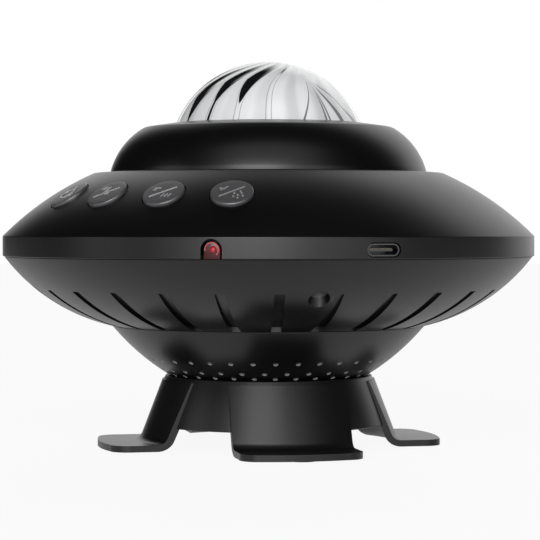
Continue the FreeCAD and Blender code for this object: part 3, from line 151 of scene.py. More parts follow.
class StandSizes(bpy.types.PropertyGroup):
    azimuth: turn("Leg azimuth", "Azimuth of the front leg", 12)
    drum_top: length("Drum top", "Radius of the drum at its top", 29.3 * MM)
    drum_low: length("Drum foot", "Radius of the drum at its foot", 33.7 * MM)
    drum_z: length("Drum foot height", "Height of the drum's foot", 6.4 * MM)
    drum_wall: length("Drum wall", "Wall of the drum", 1.8 * MM)
    leg_top: length("Leg top", "Radius of a leg's face at its top", 30.1 * MM)
    leg_low: length("Leg foot", "Radius of a leg's face at its bend", 37.2 * MM)
    leg_wall: length("Leg wall", "Thickness of a leg's strip", 1.8 * MM)
    leg_width: length("Leg width", "Width of a leg", 33.2 * MM)
    reach: length("Foot reach", "Radius of the feet's outer ends", 48.5 * MM)
    corner: length("Foot corner", "Corner radius of a foot", 5 * MM)
    bend: length("Bend", "Inner radius of a leg's bend", 2.6 * MM)


class BowlSizes(bpy.types.PropertyGroup):
    low: length("Bowl foot", "Radius of the bowl's floor", 28 * MM)
    bulge: length("Bowl bulge", "Radius of the bowl's section", 65.6 * MM)
    hole: length("Hole radius", "Radius of a speaker hole", 0.72 * MM)


class StageLook(bpy.types.PropertyGroup):
    distance: length("Camera distance", "Distance of the camera from the axis", 600 * MM)
    eye: length("Camera height", "Height of the camera", 61.8 * MM)
    lens: FloatProperty(name="Lens", description="Focal length on a 36 mm sensor", default=140.7)
    pitch: turn("Pitch", "How far the camera looks down", 1.158)
    shift: FloatProperty(name="Shift", description="Sideways shift of the frame", default=0.0028)
    floor: colour("Floor", "Colour of the floor", (0.93, 0.93, 0.93))
    floor_size: length("Floor size", "Half the side of the floor", 3)
    floor_seen: FloatProperty(name="Floor whiteness", description="White of the floor to the camera",
                              default=0.92)
    floor_gloss: FloatProperty(name="Floor in gloss", description="White of the floor in glossy shells",
                               default=0.42)
    softbox: length("Softbox", "Side of the square lamp in front", 0.95)
    softbox_power: FloatProperty(name="Softbox power", description="Power of the lamp in watts",
                                 default=10.5)


GROUPS = {
    "projector_saucer": SaucerSizes,
    "projector_dome": DomeSizes,
    "projector_collar": CollarSizes,
    "projector_keys": KeySizes,
    "projector_ports": PortSizes,
    "projector_stand": StandSizes,
    "projector_bowl": BowlSizes,
    "projector_stage": StageLook,
}


# Shapes


def heading(azimuth):
    """Unit vector on the floor at an azimuth."""
    return Vector((math.sin(azimuth), -math.cos(azimuth), 0))


def arc(start, end, radius, steps=24):
    """Points after start, up to end, on an arc; a positive radius turns left."""
    a, b = Vector(start), Vector(end)
    along = b - a
    half = along.length / 2
    across = Vector((-along.y, along.x)).normalized()
    rise = math.sqrt(max(radius * radius - half * half, 0))
    centre = (a + b) / 2 + across * (rise if radius > 0 else -rise)
    first = math.atan2(a.y - centre.y, a.x - centre.x)
    sweep = 2 * math.asin(min(half / abs(radius), 1)) * (1 if radius > 0 else -1)
    return [tuple(centre + Vector((math.cos(first + sweep * i / steps),
                                   math.sin(first + sweep * i / steps))) * abs(radius))
            for i in range(1, steps + 1)]


def eased(before, corner, after, radius, steps=6):
    """Points of the arc that rounds a corner."""
    a, b, c = Vector(before), Vector(corner), Vector(after)
    into, out = (a - b).normalized(), (c - b).normalized()
    half = into.angle(out) / 2
    reach = min(radius / math.tan(half), (a - b).length * 0.49, (c - b).length * 0.49)
    first, last = b + into * reach, b + out * reach
    left = (b - a).x * (c - b).y - (b - a).y * (c - b).x > 0
    bend = reach * math.tan(half)
    return [tuple(first)] + arc(first, last, bend if left else -bend, steps)


def softened(points, radius, least=20):
    """Round each corner of a closed outline that turns by more than least degrees."""
    out = []
    for i, here in enumerate(points):
        before, after = points[i - 1], points[(i + 1) % len(points)]
        if here[0] < 1e-9:
            out.append(here)
            continue
        a, b, c = Vector(before), Vector(here), Vector(after)
        if math.degrees((b - a).angle(c - b)) > least:
            out += eased(before, here, after, radius, 3)
        else:
            out.append(here)
    return out


def to_object(name, bm):
    """Make a bmesh an object of the scene, with its sharp edges marked by angle."""
    mesh = bpy.data.meshes.new(name)
    bm.to_mesh(mesh)
    bm.free()
    mesh.shade_smooth()
    mesh.set_sharp_from_angle(angle=math.radians(32))
    piece = bpy.data.objects.new(name, mesh)
    bpy.context.scene.collection.objects.link(piece)
    return piece


def spun(outline, steps=192):
    """Spin a closed radius-height outline round Z."""
    bm = bmesh.new()
    spots = [bm.verts.new((r, 0, z)) for r, z in outline]
    edges = [bm.edges.new((spots[i - 1], spots[i])) for i in range(len(spots))
             if not (outline[i - 1][0] < 1e-9 and outline[i][0] < 1e-9)]
    bmesh.ops.spin(bm, geom=spots + edges, cent=(0, 0, 0), axis=(0, 0, 1), dvec=(0, 0, 0),
                   angle=FULL_TURN, steps=steps, use_merge=True)
    bmesh.ops.remove_doubles(bm, verts=bm.verts, dist=1e-7)
    bmesh.ops.recalc_face_normals(bm, faces=bm.faces)
    return bm


def prism(points, depth, place=Matrix.Identity(4)):
    """Extrude a flat outline by depth along its own +Z, then place it."""
    bm = bmesh.new()
    face = bm.faces.new([bm.verts.new((x, y, 0)) for x, y in points])
    moved = bmesh.ops.extrude_face_region(bm, geom=[face])["geom"]
    raised = [v for v in moved if isinstance(v, bmesh.types.BMVert)]
    bmesh.ops.translate(bm, verts=raised, vec=(0, 0, depth))
    bmesh.ops.recalc_face_normals(bm, faces=bm.faces)
    bmesh.ops.transform(bm, matrix=place, verts=bm.verts)
    return bm


def disc_points(radius, sides=32, centre=(0, 0)):
    return [(centre[0] + radius * math.cos(FULL_TURN * i / sides),
             centre[1] + radius * math.sin(FULL_TURN * i / sides)) for i in range(sides)]


def pill_points(width, height, steps=12):
    """A pill-shaped outline centred on the origin."""
    end, flat = height / 2, (width - height) / 2
    points = [(flat, -end)] + arc((flat, -end), (flat, end), end, steps)
    return points + [(-flat, end)] + arc((-flat, end), (-flat, -end), end, steps)


def arch_points(width, height, steps=16):
    """An outline with a half-round top, standing on the origin."""
    half = width / 2
    points = [(-half, 0), (half, 0), (half, height - half)]
    return points + arc((half, height - half), (-half, height - half), half, steps)


def merged(parts):
    """Put several bmeshes in one."""
    whole = bmesh.new()
    for part in parts:
        mesh = bpy.data.meshes.new("part")
        part.to_mesh(mesh)
        part.free()
        whole.from_mesh(mesh)
        bpy.data.meshes.remove(mesh)
    return whole


def carve(piece, cutters, operation="DIFFERENCE", lining=None):
    """Cut the cutters out of a piece, or keep what they share; the lining colours the cut faces."""
    tool = to_object("carving_tool", merged(cutters))
    modifier = piece.modifiers.new("Carve", "BOOLEAN")
    modifier.object = tool
    modifier.operation = operation
    modifier.solver = "EXACT"
    if lining:
        tool.data.materials.append(lining)
        modifier.material_mode = "TRANSFER"
    graph = bpy.context.evaluated_depsgraph_get()
    mesh = bpy.data.meshes.new_from_object(piece.evaluated_get(graph))
    piece.modifiers.clear()
    old = piece.data
    piece.data = mesh
    bpy.data.meshes.remove(old)
    bpy.data.objects.remove(tool)
    mesh.shade_smooth()
    mesh.set_sharp_from_angle(angle=math.radians(32))
    return piece


def even_normals(piece):
    """Weigh the normals by face size, so that carved faces shade evenly."""
    modifier = piece.modifiers.new("Even normals", "WEIGHTED_NORMAL")
    modifier.keep_sharp = True
    modifier.weight = 80


def facing(azimuth, radius, height):
    """Place that takes an outline's +Z to the front's outward direction, with +Y up."""
    out = heading(azimuth)
    side = Vector((math.cos(azimuth), math.sin(azimuth), 0))
    turned = Matrix((side, Vector((0, 0, 1)), out)).transposed().to_4x4()
    return Matrix.Translation(out * radius + Vector((0, 0, height))) @ turned


def on_slope(azimuth, radius, z, lean):
    """Place that takes +Z to the saucer top's normal, with +Y uphill."""
    out = heading(azimuth)
    normal = out * math.sin(lean) + Vector((0, 0, math.cos(lean)))
    side = Vector((math.cos(azimuth), math.sin(azimuth), 0))
    uphill = normal.cross(side)
    turned = Matrix((side, uphill, normal)).transposed().to_4x4()
    return Matrix.Translation(out * radius + Vector((0, 0, z))) @ turned


def saucer_top(sizes):
    """Outline points of the saucer top, from the rim inwards."""
    rim_top = sizes.seam + sizes.band
    return arc((sizes.rim, rim_top), (sizes.shoulder, sizes.top), sizes.top_bulge, 40)


def key_place(context, index):
    """Place of a key: on the saucer top, along its normal."""
    sizes, keys = context.scene.projector_saucer, context.scene.projector_keys
    points = saucer_top(sizes)
    for (r0, z0), (r1, z1) in zip(points, points[1:]):
        if r1 <= keys.place <= r0:
            share = (r0 - keys.place) / (r0 - r1)
            z = z0 + (z1 - z0) * share
            lean = math.atan2(z1 - z0, r0 - r1)
            return on_slope(keys.azimuth - keys.step * index, keys.place, z, lean)
    raise RuntimeError("the keys lie off the saucer top")


# Finishes


def calc(tree, operation, *values):
    """A Math node fed with numbers or sockets."""
    node = tree.nodes.new("ShaderNodeMath")
    node.operation = operation
    for socket, value in zip(node.inputs, values):
        if isinstance(value, (int, float)):
            socket.default_value = value
        else:
            tree.links.new(value, socket)
    return node.outputs[0]


def rising(tree, value, low, high):
    """Smooth step from 0 at low to 1 at high."""
    node = tree.nodes.new("ShaderNodeMapRange")
    node.interpolation_type = "SMOOTHSTEP"
    node.inputs["From Min"].default_value = low
    node.inputs["From Max"].default_value = high
    tree.links.new(value, node.inputs["Value"])
    return node.outputs["Result"]


def falling(tree, value, low, high):
    """Smooth step from 1 at low to 0 at high."""
    return calc(tree, "SUBTRACT", 1, rising(tree, value, low, high))


def split_coordinates(tree, output):
    """X, Y and Z of a texture coordinate."""
    place = tree.nodes.new("ShaderNodeTexCoord")
    split = tree.nodes.new("ShaderNodeSeparateXYZ")
    tree.links.new(place.outputs[output], split.inputs[0])
    return split.outputs


def material(name, rough=0.4, **sockets):
    """A Principled material whose sockets are set directly."""
    finish = bpy.data.materials.new(name)
    finish.use_nodes = True
    shader = finish.node_tree.nodes["Principled BSDF"]
    shader.inputs["Roughness"].default_value = rough
    for socket, value in sockets.items():
        title = socket.replace("_", " ")
        if isinstance(value, (tuple, list)) or hasattr(value, "r"):
            value = (*tuple(value)[:3], 1)
        shader.inputs[title].default_value = value
    return finish


def grained(finish, scale, bump, rough_low, rough_high, depth=0.02 * MM):
    """Give a finish a fine moulded grain and slightly uneven gloss."""
    tree = finish.node_tree
    nodes, links = tree.nodes, tree.links
    shader = nodes["Principled BSDF"]
    place = nodes.new("ShaderNodeTexCoord")
    grain = nodes.new("ShaderNodeTexNoise")
    grain.inputs["Scale"].default_value = scale
    grain.inputs["Detail"].default_value = 3
    links.new(place.outputs["Object"], grain.inputs["Vector"])
    relief = nodes.new("ShaderNodeBump")
    relief.inputs["Strength"].default_value = bump
    relief.inputs["Distance"].default_value = depth
    links.new(grain.outputs["Fac"], relief.inputs["Height"])
    links.new(relief.outputs["Normal"], shader.inputs["Normal"])
    cloud = nodes.new("ShaderNodeTexNoise")
    cloud.inputs["Scale"].default_value = 45
    cloud.inputs["Detail"].default_value = 2
    links.new(place.outputs["Object"], cloud.inputs["Vector"])
    spread = nodes.new("ShaderNodeMapRange")
    spread.inputs["To Min"].default_value = rough_low
    spread.inputs["To Max"].default_value = rough_high
    links.new(cloud.outputs["Fac"], spread.inputs["Value"])
    links.new(spread.outputs["Result"], shader.inputs["Roughness"])
    return finish


def shell_black():
    """Satin black of the moulded shells."""
    return bpy.data.materials.get("shell_black") or grained(
        material("shell_black", Base_Color=(0.0022, 0.0022, 0.0024)),
        9000, 0.25, 0.27, 0.33)


def stand_black():
    """Slightly duller black of the stand."""
    return bpy.data.materials.get("stand_black") or grained(
        material("stand_black", Base_Color=(0.0045, 0.0045, 0.0048)),
        7000, 0.35, 0.3, 0.38)


def dress(piece, finish, body="housing", replaced=()):
    """Give a new piece its finish, its body and the CAD nodes it stands for; None keeps its finishes."""
    if finish:
        piece.data.materials.clear()
        piece.data.materials.append(finish)
    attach(piece, body)
    if replaced:
        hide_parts(*replaced)
    return piece


def coat_node(name, finish):
    """Give a CAD node a finish of its own."""
    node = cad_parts[name]
    node.data.materials.clear()
    node.data.materials.append(finish)


# Pieces


class PROJECTOR_OT_upper_shell(bpy.types.Operator):
    """Saucer top with its rim band, key holes, window notch and socket hole"""
    bl_idname = "projector.upper_shell"
    bl_label = "Upper shell"
    bl_options = {"REGISTER", "UNDO"}

    def execute(self, context):
        sizes, keys = context.scene.projector_saucer, context.scene.projector_keys
        ports = context.scene.projector_ports
        rim_top = sizes.seam + sizes.band
        inner = sizes.rim - sizes.wall
        under_shoulder = (sizes.shoulder - sizes.wall / 2, sizes.top - sizes.wall)
        outline = [(inner, sizes.seam), (sizes.rim, sizes.seam), (sizes.rim, rim_top)]
        outline += saucer_top(sizes)
        outline += [(sizes.neck, sizes.top), (sizes.neck, sizes.top - sizes.wall), under_shoulder]
        outline += arc(under_shoulder, (inner, rim_top - sizes.wall / 2), -(sizes.top_bulge - sizes.wall))
        piece = to_object("saucer_top", spun(softened(outline, sizes.soft, least=25), steps=256))
        key_cut, port_cut = 12 * MM, 8 * MM
        port_start, past_seam = 70 * MM, 0.5 * MM
        cutters = []
        for index in range(len(KEYS)):
            place = key_place(context, index) @ Matrix.Translation((0, 0, -key_cut / 2))
            cutters.append(prism(disc_points(keys.radius + keys.gap, 64), key_cut, place))
        arch = arch_points(ports.window_width, ports.window_height + past_seam)
        notch = facing(ports.window_azimuth, port_start, sizes.seam - past_seam)
        cutters.append(prism(arch, port_cut, notch))
        pill = pill_points(ports.socket_width, ports.socket_height)
        recess = facing(ports.socket_azimuth, port_start, ports.socket_z)
        cutters.append(prism(pill, port_cut, recess))
        carve(piece, cutters)
        even_normals(piece)
        dress(piece, shell_black(), replaced=["upper_shell"])
        return {"FINISHED"}


class PROJECTOR_OT_lower_shell(bpy.types.Operator):
    """Saucer underside with its radial grooves and screw wells"""
    bl_idname = "projector.lower_shell"
    bl_label = "Lower shell"
    bl_options = {"REGISTER", "UNDO"}

    def execute(self, context):
        sizes = context.scene.projector_saucer
        seam_r = sizes.rim - sizes.seam_step
        lip = sizes.bottom - 9.2 * MM
        inner_foot = (sizes.bottom - 0.3 * MM, sizes.bottom_z + sizes.wall)
        outline = [(seam_r, sizes.seam)]
        outline += arc((seam_r, sizes.seam), (sizes.bottom, sizes.bottom_z), -sizes.bottom_bulge, steps=48)
        outline += [(lip, sizes.bottom_z), (lip, sizes.bottom_z + sizes.wall), inner_foot]
        outline += arc(inner_foot, (seam_r - sizes.wall * 1.25, sizes.seam),
                       sizes.bottom_bulge - sizes.wall, steps=32)
        piece = to_object("saucer_underside", spun(softened(outline, sizes.soft, least=25), steps=256))
        # The floor of a groove, from its shallow end near the rim to its deep end at the bottom edge
        shallow_end = (66 * MM, 45.4 * MM)
        deep_end = (sizes.bottom - 0.2 * MM, sizes.bottom_z + 1.3 * MM)
        floor_bulge, below = 60 * MM, sizes.bottom_z - 2 * MM
        floor = [shallow_end] + arc(shallow_end, deep_end, -floor_bulge, steps=20)
        floor += [(deep_end[0], below), (shallow_end[0], below)]
        half = sizes.groove_width / 2
        upright = Matrix.Rotation(math.pi / 2, 4, "X")
        cutters = []
        for index in range(sizes.groove_count):
            azimuth = sizes.groove_azimuth + FULL_TURN * index / sizes.groove_count
            spin = Matrix.Rotation(azimuth - math.pi / 2, 4, "Z")
            place = spin @ Matrix.Translation((0, half, 0)) @ upright
            cutters.append(prism(floor, sizes.groove_width, place))
        carve(piece, cutters)
        wells = [heading(sizes.well_azimuth + index * math.pi / 2) * sizes.well_place
                 for index in range(4)]
        cut_start, cut_length = Vector((0, 0, 30 * MM)), 22 * MM
        carve(piece, [prism(disc_points(sizes.well, 40), cut_length, Matrix.Translation(spot + cut_start))
                      for spot in wells])
        even_normals(piece)
        dress(piece, shell_black(), replaced=["lower_shell"])
        # Each well is lined by a tube whose floor has a hole for the screw
        tube_low, tube_top, tube_floor = 43 * MM, 53 * MM, 50.5 * MM
        outer, screw_hole, fit = sizes.well + 0.9 * MM, 1.4 * MM, 0.02 * MM
        tube = [(sizes.well + fit, tube_low), (outer, tube_low), (outer, tube_top), (screw_hole, tube_top),
                (screw_hole, tube_floor), (sizes.well, tube_floor)]
        tubes = []
        for spot in wells:
            lined = spun(tube, steps=40)
            bmesh.ops.translate(lined, verts=lined.verts, vec=spot)
            tubes.append(lined)
        lining = to_object("screw_wells", merged(tubes))
        skin = 0.05 * MM
        keep = arc((seam_r, sizes.seam), (sizes.bottom, sizes.bottom_z), -sizes.bottom_bulge, steps=32)
        inside = [(0, sizes.seam), (0, sizes.bottom_z), *reversed(keep)]
        carve(lining, [spun([(max(r - skin, 0), z) for r, z in inside], steps=128)], "INTERSECT")
        dress(lining, well_grey())
        return {"FINISHED"}


def well_grey():
    """Bare plastic inside the screw wells: an even grey, paler and rougher than the shells."""
    return bpy.data.materials.get("well_grey") or grained(
        material("well_grey", Base_Color=(0.09, 0.09, 0.092)), 5000, 0.4, 0.4, 0.5)


class PROJECTOR_OT_collar(bpy.types.Operator):
    """Rounded collar that holds the dome"""
    bl_idname = "projector.collar"
    bl_label = "Collar"
    bl_options = {"REGISTER", "UNDO"}

    def execute(self, context):
        sizes, dome = context.scene.projector_collar, context.scene.projector_dome
        saucer = context.scene.projector_saucer
        top = sizes.edge_z + sizes.rise
        mouth = math.sqrt(dome.radius ** 2 - (top - dome.centre) ** 2) + sizes.gap
        foot_z = saucer.top + 0.9 * MM
        edge_round, mouth_round = 4 * MM, 0.5 * MM
        inner_foot = sizes.foot - saucer.wall
        under_edge = (sizes.edge - 1 * MM, sizes.edge_z - 2.2 * MM)
        side = arc((sizes.foot, foot_z), (sizes.edge, sizes.edge_z), sizes.bulge, steps=28)
        outline = [(inner_foot, saucer.top), (sizes.foot, saucer.top), (sizes.foot, foot_z)]
        outline += side[:-1]
        mouth_edge, mouth_low = (mouth, top), (mouth, top - 2 * MM)
        outline += eased(side[-4], side[-1], mouth_edge, edge_round, steps=8)[1:]
        outline += eased((sizes.edge, sizes.edge_z), mouth_edge, mouth_low, mouth_round, steps=4)
        # Under the mouth the wall slants back beside the dome
        slant = ((0, 1), (1.6, 2), (5, 3))
        outline += [(mouth + back * MM, top - drop * MM) for back, drop in slant]
        outline.append(under_edge)
        outline += arc(under_edge, (inner_foot, foot_z), -(sizes.bulge - saucer.wall), steps=16)
        piece = to_object("dome_collar", spun(outline, steps=224))
        dress(piece, shell_black(), replaced=["collar_ring"])
        return {"FINISHED"}


class PROJECTOR_OT_dome(bpy.types.Operator):
    """Clear dome with swirled ribs"""
    bl_idname = "projector.dome"
    bl_label = "Ribbed dome"
    bl_options = {"REGISTER", "UNDO"}

    def execute(self, context):
        sizes = context.scene.projector_dome
        bm = bmesh.new()
        bmesh.ops.create_uvsphere(bm, u_segments=320, v_segments=160, radius=sizes.radius)
        low = -(sizes.centre - DOME_LOW.z)
        bmesh.ops.bisect_plane(bm, geom=bm.verts[:] + bm.edges[:] + bm.faces[:],
                               plane_co=(0, 0, low), plane_no=(0, 0, -1), clear_outer=True)
        foot_fade, top_fade = 6, 5
        for vertex in bm.verts:
            ridge, tall = swirl(vertex.co, sizes)
            fade = min(max(tall * foot_fade, 0), 1) * min((1 - tall) * top_fade, 1)
            vertex.co -= vertex.co.normalized() * sizes.relief * fade * (0.5 + 0.5 * ridge)
            vertex.co.z += sizes.centre
        piece = to_object("ribbed_dome", bm)
        wall = piece.modifiers.new("Wall", "SOLIDIFY")
        wall.thickness = sizes.wall
        wall.offset = -1
        dress(piece, dome_clear_painted_light(sizes), replaced=["dome"])
        return {"FINISHED"}


def swirl(spot, sizes):
    """Rib height and height share of a point on the dome."""
    tall = max(min(spot.z / sizes.radius, 1), 0)
    azimuth = math.atan2(spot.x, -spot.y)
    return math.cos(sizes.ribs * (azimuth - sizes.twist * tall ** sizes.twist_power)), tall


# Painted shade of the dome's dark slivers. Share of the dome's height where the slivers start: the least,
# and its steps up between two azimuths
SLIVER_LOWEST = 0.34
SLIVER_STEPS = ((0.16, -60, -42), (0.3, -18, 0), (0.5, 8, 25))
SLIVERS_END = (-150, -110)
SLIVER_WIDENING = 18
SLIVER_WIDEST = -0.45
# Painted arcs on the right, the far wall's ribs seen through the dome: azimuth from where they meet, half
# width in degrees, and darkness
FAR_RIBS = ((-15, 0.5, 0.8), (1, 0.6, 0.7), (4, 0.5, 0.75), (14, 1.5, 0.72), (19, 0.4, 0.4),
            (23, 0.4, 0.4), (30, 1.8, 0.6), (36, 0.5, 0.35), (43, 0.8, 0.3))
FAR_RIBS_MEET = 37


def painted_sliver_shade(tree, base, tall, ridge):
    """Painted shade of the dark slivers: down to the collar on the left, pointed near the middle, and
    absent behind.
    """
    start = SLIVER_LOWEST
    for rise, low, high in SLIVER_STEPS:
        step = rising(tree, base, math.radians(low), math.radians(high))
        start = calc(tree, "ADD", calc(tree, "MULTIPLY", step, rise), start)
    behind = falling(tree, base, *[math.radians(end) for end in SLIVERS_END])
    start = calc(tree, "ADD", start, behind)
    above = calc(tree, "MAXIMUM", calc(tree, "SUBTRACT", tall, start), 0)
    widening = calc(tree, "MULTIPLY", calc(tree, "MULTIPLY", above, above), SLIVER_WIDENING)
    edge = calc(tree, "SUBTRACT", 1.02, widening)
    thin = calc(tree, "ADD", 0.94, rising(tree, base, math.radians(-36), math.radians(-25)))
    edge = calc(tree, "MINIMUM", edge, calc(tree, "ADD", thin, behind))
    inside = calc(tree, "SUBTRACT", ridge, calc(tree, "MAXIMUM", edge, SLIVER_WIDEST))
    # The painted shade is paler near the top, and a painted grey line runs beside each sliver on the left
    paler_top = calc(tree, "MULTIPLY", falling(tree, tall, 0.86, 0.95), 0.6)
    sliver = calc(tree, "MULTIPLY", rising(tree, inside, -0.02, 0.04), calc(tree, "ADD", 0.4, paler_top))
    rim = calc(tree, "MULTIPLY", rising(tree, inside, -0.24, -0.19), falling(tree, inside, -0.15, -0.1))
    rim = calc(tree, "MULTIPLY", rim, falling(tree, base, 0, math.radians(20)))
    return calc(tree, "MAXIMUM", sliver, calc(tree, "MULTIPLY", rim, 0.5))


def painted_far_ribs(tree, azimuth, tall):
    """Painted thin arcs on the right: ribs of the far wall seen through the clear wall, which draw
    together towards the top.
    """
    reach = calc(tree, "SUBTRACT", 1.8, calc(tree, "MULTIPLY", tall, 2.1))
    aside = calc(tree, "SUBTRACT", azimuth, math.radians(FAR_RIBS_MEET))
    spread = calc(tree, "DIVIDE", aside, calc(tree, "MAXIMUM", reach, 0.1))
    lines = 0
    for place, half, darkness in FAR_RIBS:
        off = calc(tree, "ABSOLUTE", calc(tree, "SUBTRACT", spread, math.radians(place)))
        line = falling(tree, off, math.radians(half), math.radians(half * 1.8))
        lines = calc(tree, "MAXIMUM", lines, calc(tree, "MULTIPLY", line, darkness))
    return calc(tree, "MULTIPLY", lines, falling(tree, tall, 0.74, 0.8))


def blend(tree, share, low, high):
    """Mix of two colours; low may be a socket."""
    node = tree.nodes.new("ShaderNodeMix")
    node.data_type = "RGBA"
    if isinstance(low, bpy.types.NodeSocket):
        tree.links.new(low, node.inputs["A"])
    else:
        node.inputs["A"].default_value = (*low, 1)
    node.inputs["B"].default_value = (*high, 1)
    tree.links.new(share, node.inputs["Factor"])
    return node.outputs["Result"]


def dome_clear_painted_light(sizes):
    """Clear moulded plastic with painted light: pale flutes painted as the bright surroundings seen
    through the clear wall, with painted shade on one side of each, and dark slivers of painted shade where
    the ribs bend the light away.
    """
    # The emission makes the painted colours glow faintly, though the dome is no lamp
    finish = material("dome_clear_painted_light", 0.05, IOR=1.49, Transmission_Weight=0.1, Coat_Weight=1.0,
                      Coat_Roughness=0.03, Emission_Strength=0.17)
    tree = finish.node_tree
    x, y, z = split_coordinates(tree, "Object")
    tall = calc(tree, "DIVIDE", calc(tree, "SUBTRACT", z, sizes.centre), sizes.radius)
    tall = calc(tree, "MINIMUM", calc(tree, "MAXIMUM", tall, 0), 1)
    azimuth = calc(tree, "ARCTAN2", x, calc(tree, "MULTIPLY", y, -1))
    lag = calc(tree, "MULTIPLY", calc(tree, "POWER", tall, sizes.twist_power), sizes.twist)
    base = calc(tree, "SUBTRACT", azimuth, lag)
    angle = calc(tree, "MULTIPLY", base, sizes.ribs)
    # Painted shade: the dark slivers and the far wall's ribs seen through the dome
    dark = calc(tree, "MAXIMUM", painted_sliver_shade(tree, base, tall, calc(tree, "COSINE", angle)),
                painted_far_ribs(tree, azimuth, tall))
    # Painted shade on one side of each flute; the flutes' pale colour is painted light
    shade = rising(tree, calc(tree, "SINE", angle), -1, 0.6)
    flutes = blend(tree, shade, [channel * 0.86 for channel in sizes.light], sizes.light)
    paint = blend(tree, dark, flutes, sizes.dark)
    shader = tree.nodes["Principled BSDF"]
    tree.links.new(paint, shader.inputs["Base Color"])
    # The same painted colours glow faintly
    tree.links.new(paint, shader.inputs["Emission Color"])
    return finish


class PROJECTOR_OT_keys(bpy.types.Operator):
    """Round keys with their raised signs"""
    bl_idname = "projector.keys"
    bl_label = "Keys"
    bl_options = {"REGISTER", "UNDO"}

    def execute(self, context):
        sizes = context.scene.projector_keys
        top, foot, bevel = sizes.proud, -3.4 * MM, 0.45 * MM
        lip = sizes.radius + 0.9 * MM
        neck = (sizes.radius, foot + 0.8 * MM)
        outline = [(0, foot), (lip, foot), (lip, neck[1]), neck]
        outline += eased(neck, (sizes.radius, top), (0, top), bevel, steps=5)
        outline += [(sizes.radius * 0.6, top + 0.03 * MM), (0, top + 0.05 * MM)]
        for index, name in enumerate(KEYS):
            cap = spun(outline, steps=96)
            cap_faces = len(cap.faces)
            signs = list(key_signs(name, sizes))
            for part in signs:
                bmesh.ops.translate(part, verts=part.verts, vec=(0, 0, top))
            place = key_place(context, index)
            whole = merged([cap] + signs)
            bmesh.ops.transform(whole, matrix=place, verts=whole.verts)
            piece = to_object(f"{name}_key_cap", whole)
            dress(piece, key_grey(sizes), f"{name}_key", [f"{name}_button"])
            piece.data.materials.append(sign_grey(sizes))
            for face in piece.data.polygons[cap_faces:]:
                face.material_index = 1
        return {"FINISHED"}


SIGN_DEPTH = 0.1 * MM


def bar(start, end, width, height):
    """A raised bar between two points of a key's face."""
    a, b = Vector(start), Vector(end)
    along = (b - a).normalized() * width / 2
    side = Vector((-along.y, along.x))
    points = [a - side, b - side, b + side, a + side]
    return raised([tuple(p) for p in points], height)


def ring_arc(radius, width, first, last, height, steps=28):
    """A raised ring, or a part of one."""
    turns = [first + (last - first) * i / steps for i in range(steps + 1)]
    edges = [(radius + width / 2, t) for t in turns] + [(radius - width / 2, t) for t in reversed(turns)]
    return raised([(r * math.cos(t), r * math.sin(t)) for r, t in edges], height)


def dot(x, y, radius, height):
    """A raised dot."""
    return raised(disc_points(radius, 12, (x, y)), height)


def raised(points, height):
    """A shape that stands on a face and is rooted a little in it."""
    return prism(points, height + SIGN_DEPTH, Matrix.Translation((0, 0, -SIGN_DEPTH)))


def key_signs(name, sizes):
    """Plain signs: a switch ring, slashes, bars and dots, drawn in millimetres on the key's face."""
    high, line = sizes.mark, 0.32 * MM
    if name == "power":
        yield ring_arc(2.3 * MM, line * 1.4, math.radians(125), math.radians(415), high)
        yield bar((0, 0.9 * MM), (0, 3.2 * MM), line * 1.4, high)
        return
    yield bar((-3.1 * MM, -2.3 * MM), (3.1 * MM, 2.3 * MM), line, high)
    if name == "mode":
        for x in (-2.9, -1.9, -0.9):
            yield bar((x * MM, 1.1 * MM), (x * MM + 0.5 * MM, 2.6 * MM), line, high)
        yield ring_arc(0.9 * MM, line, 0, FULL_TURN * 0.999, high)
    elif name == "music":
        yield bar((-3.2 * MM, 1.7 * MM), (-1.2 * MM, 1.7 * MM), line * 1.5, high)
        yield bar((-3.3 * MM, 0.8 * MM), (-2.2 * MM, 0.8 * MM), line, high)
        for x in (0.9, 1.9, 2.9):
            yield bar((x * MM, -1 * MM), (x * MM - 0.5 * MM, -2.4 * MM), line, high)
    else:
        yield bar((-3 * MM, 0.5 * MM), (-1.3 * MM, 2.3 * MM), line * 1.3, high)
        yield bar((-3.4 * MM, 1.6 * MM), (-1.7 * MM, 1.2 * MM), line, high)
        specks = ((0.8, -0.9), (1.8, -1.7), (0.7, -2.3), (2.7, -0.8), (1.9, -3), (3.1, -2.1), (2.3, 0))
        for x, y in specks:
            yield dot(x * MM, y * MM, 0.28 * MM, high)


def key_grey(sizes):
    """Fine matt grey of the keys."""
    return bpy.data.materials.get("key_grey_matt") or grained(
        material("key_grey_matt", Base_Color=sizes.face, Metallic=0.6), 8000, 0.3, 0.3, 0.38)


def sign_grey(sizes):
    """Paler grey of the keys' raised signs."""
    return bpy.data.materials.get("sign_grey") or grained(
        material("sign_grey", Base_Color=sizes.sign, Metallic=0.6), 8000, 0.3, 0.22, 0.3)


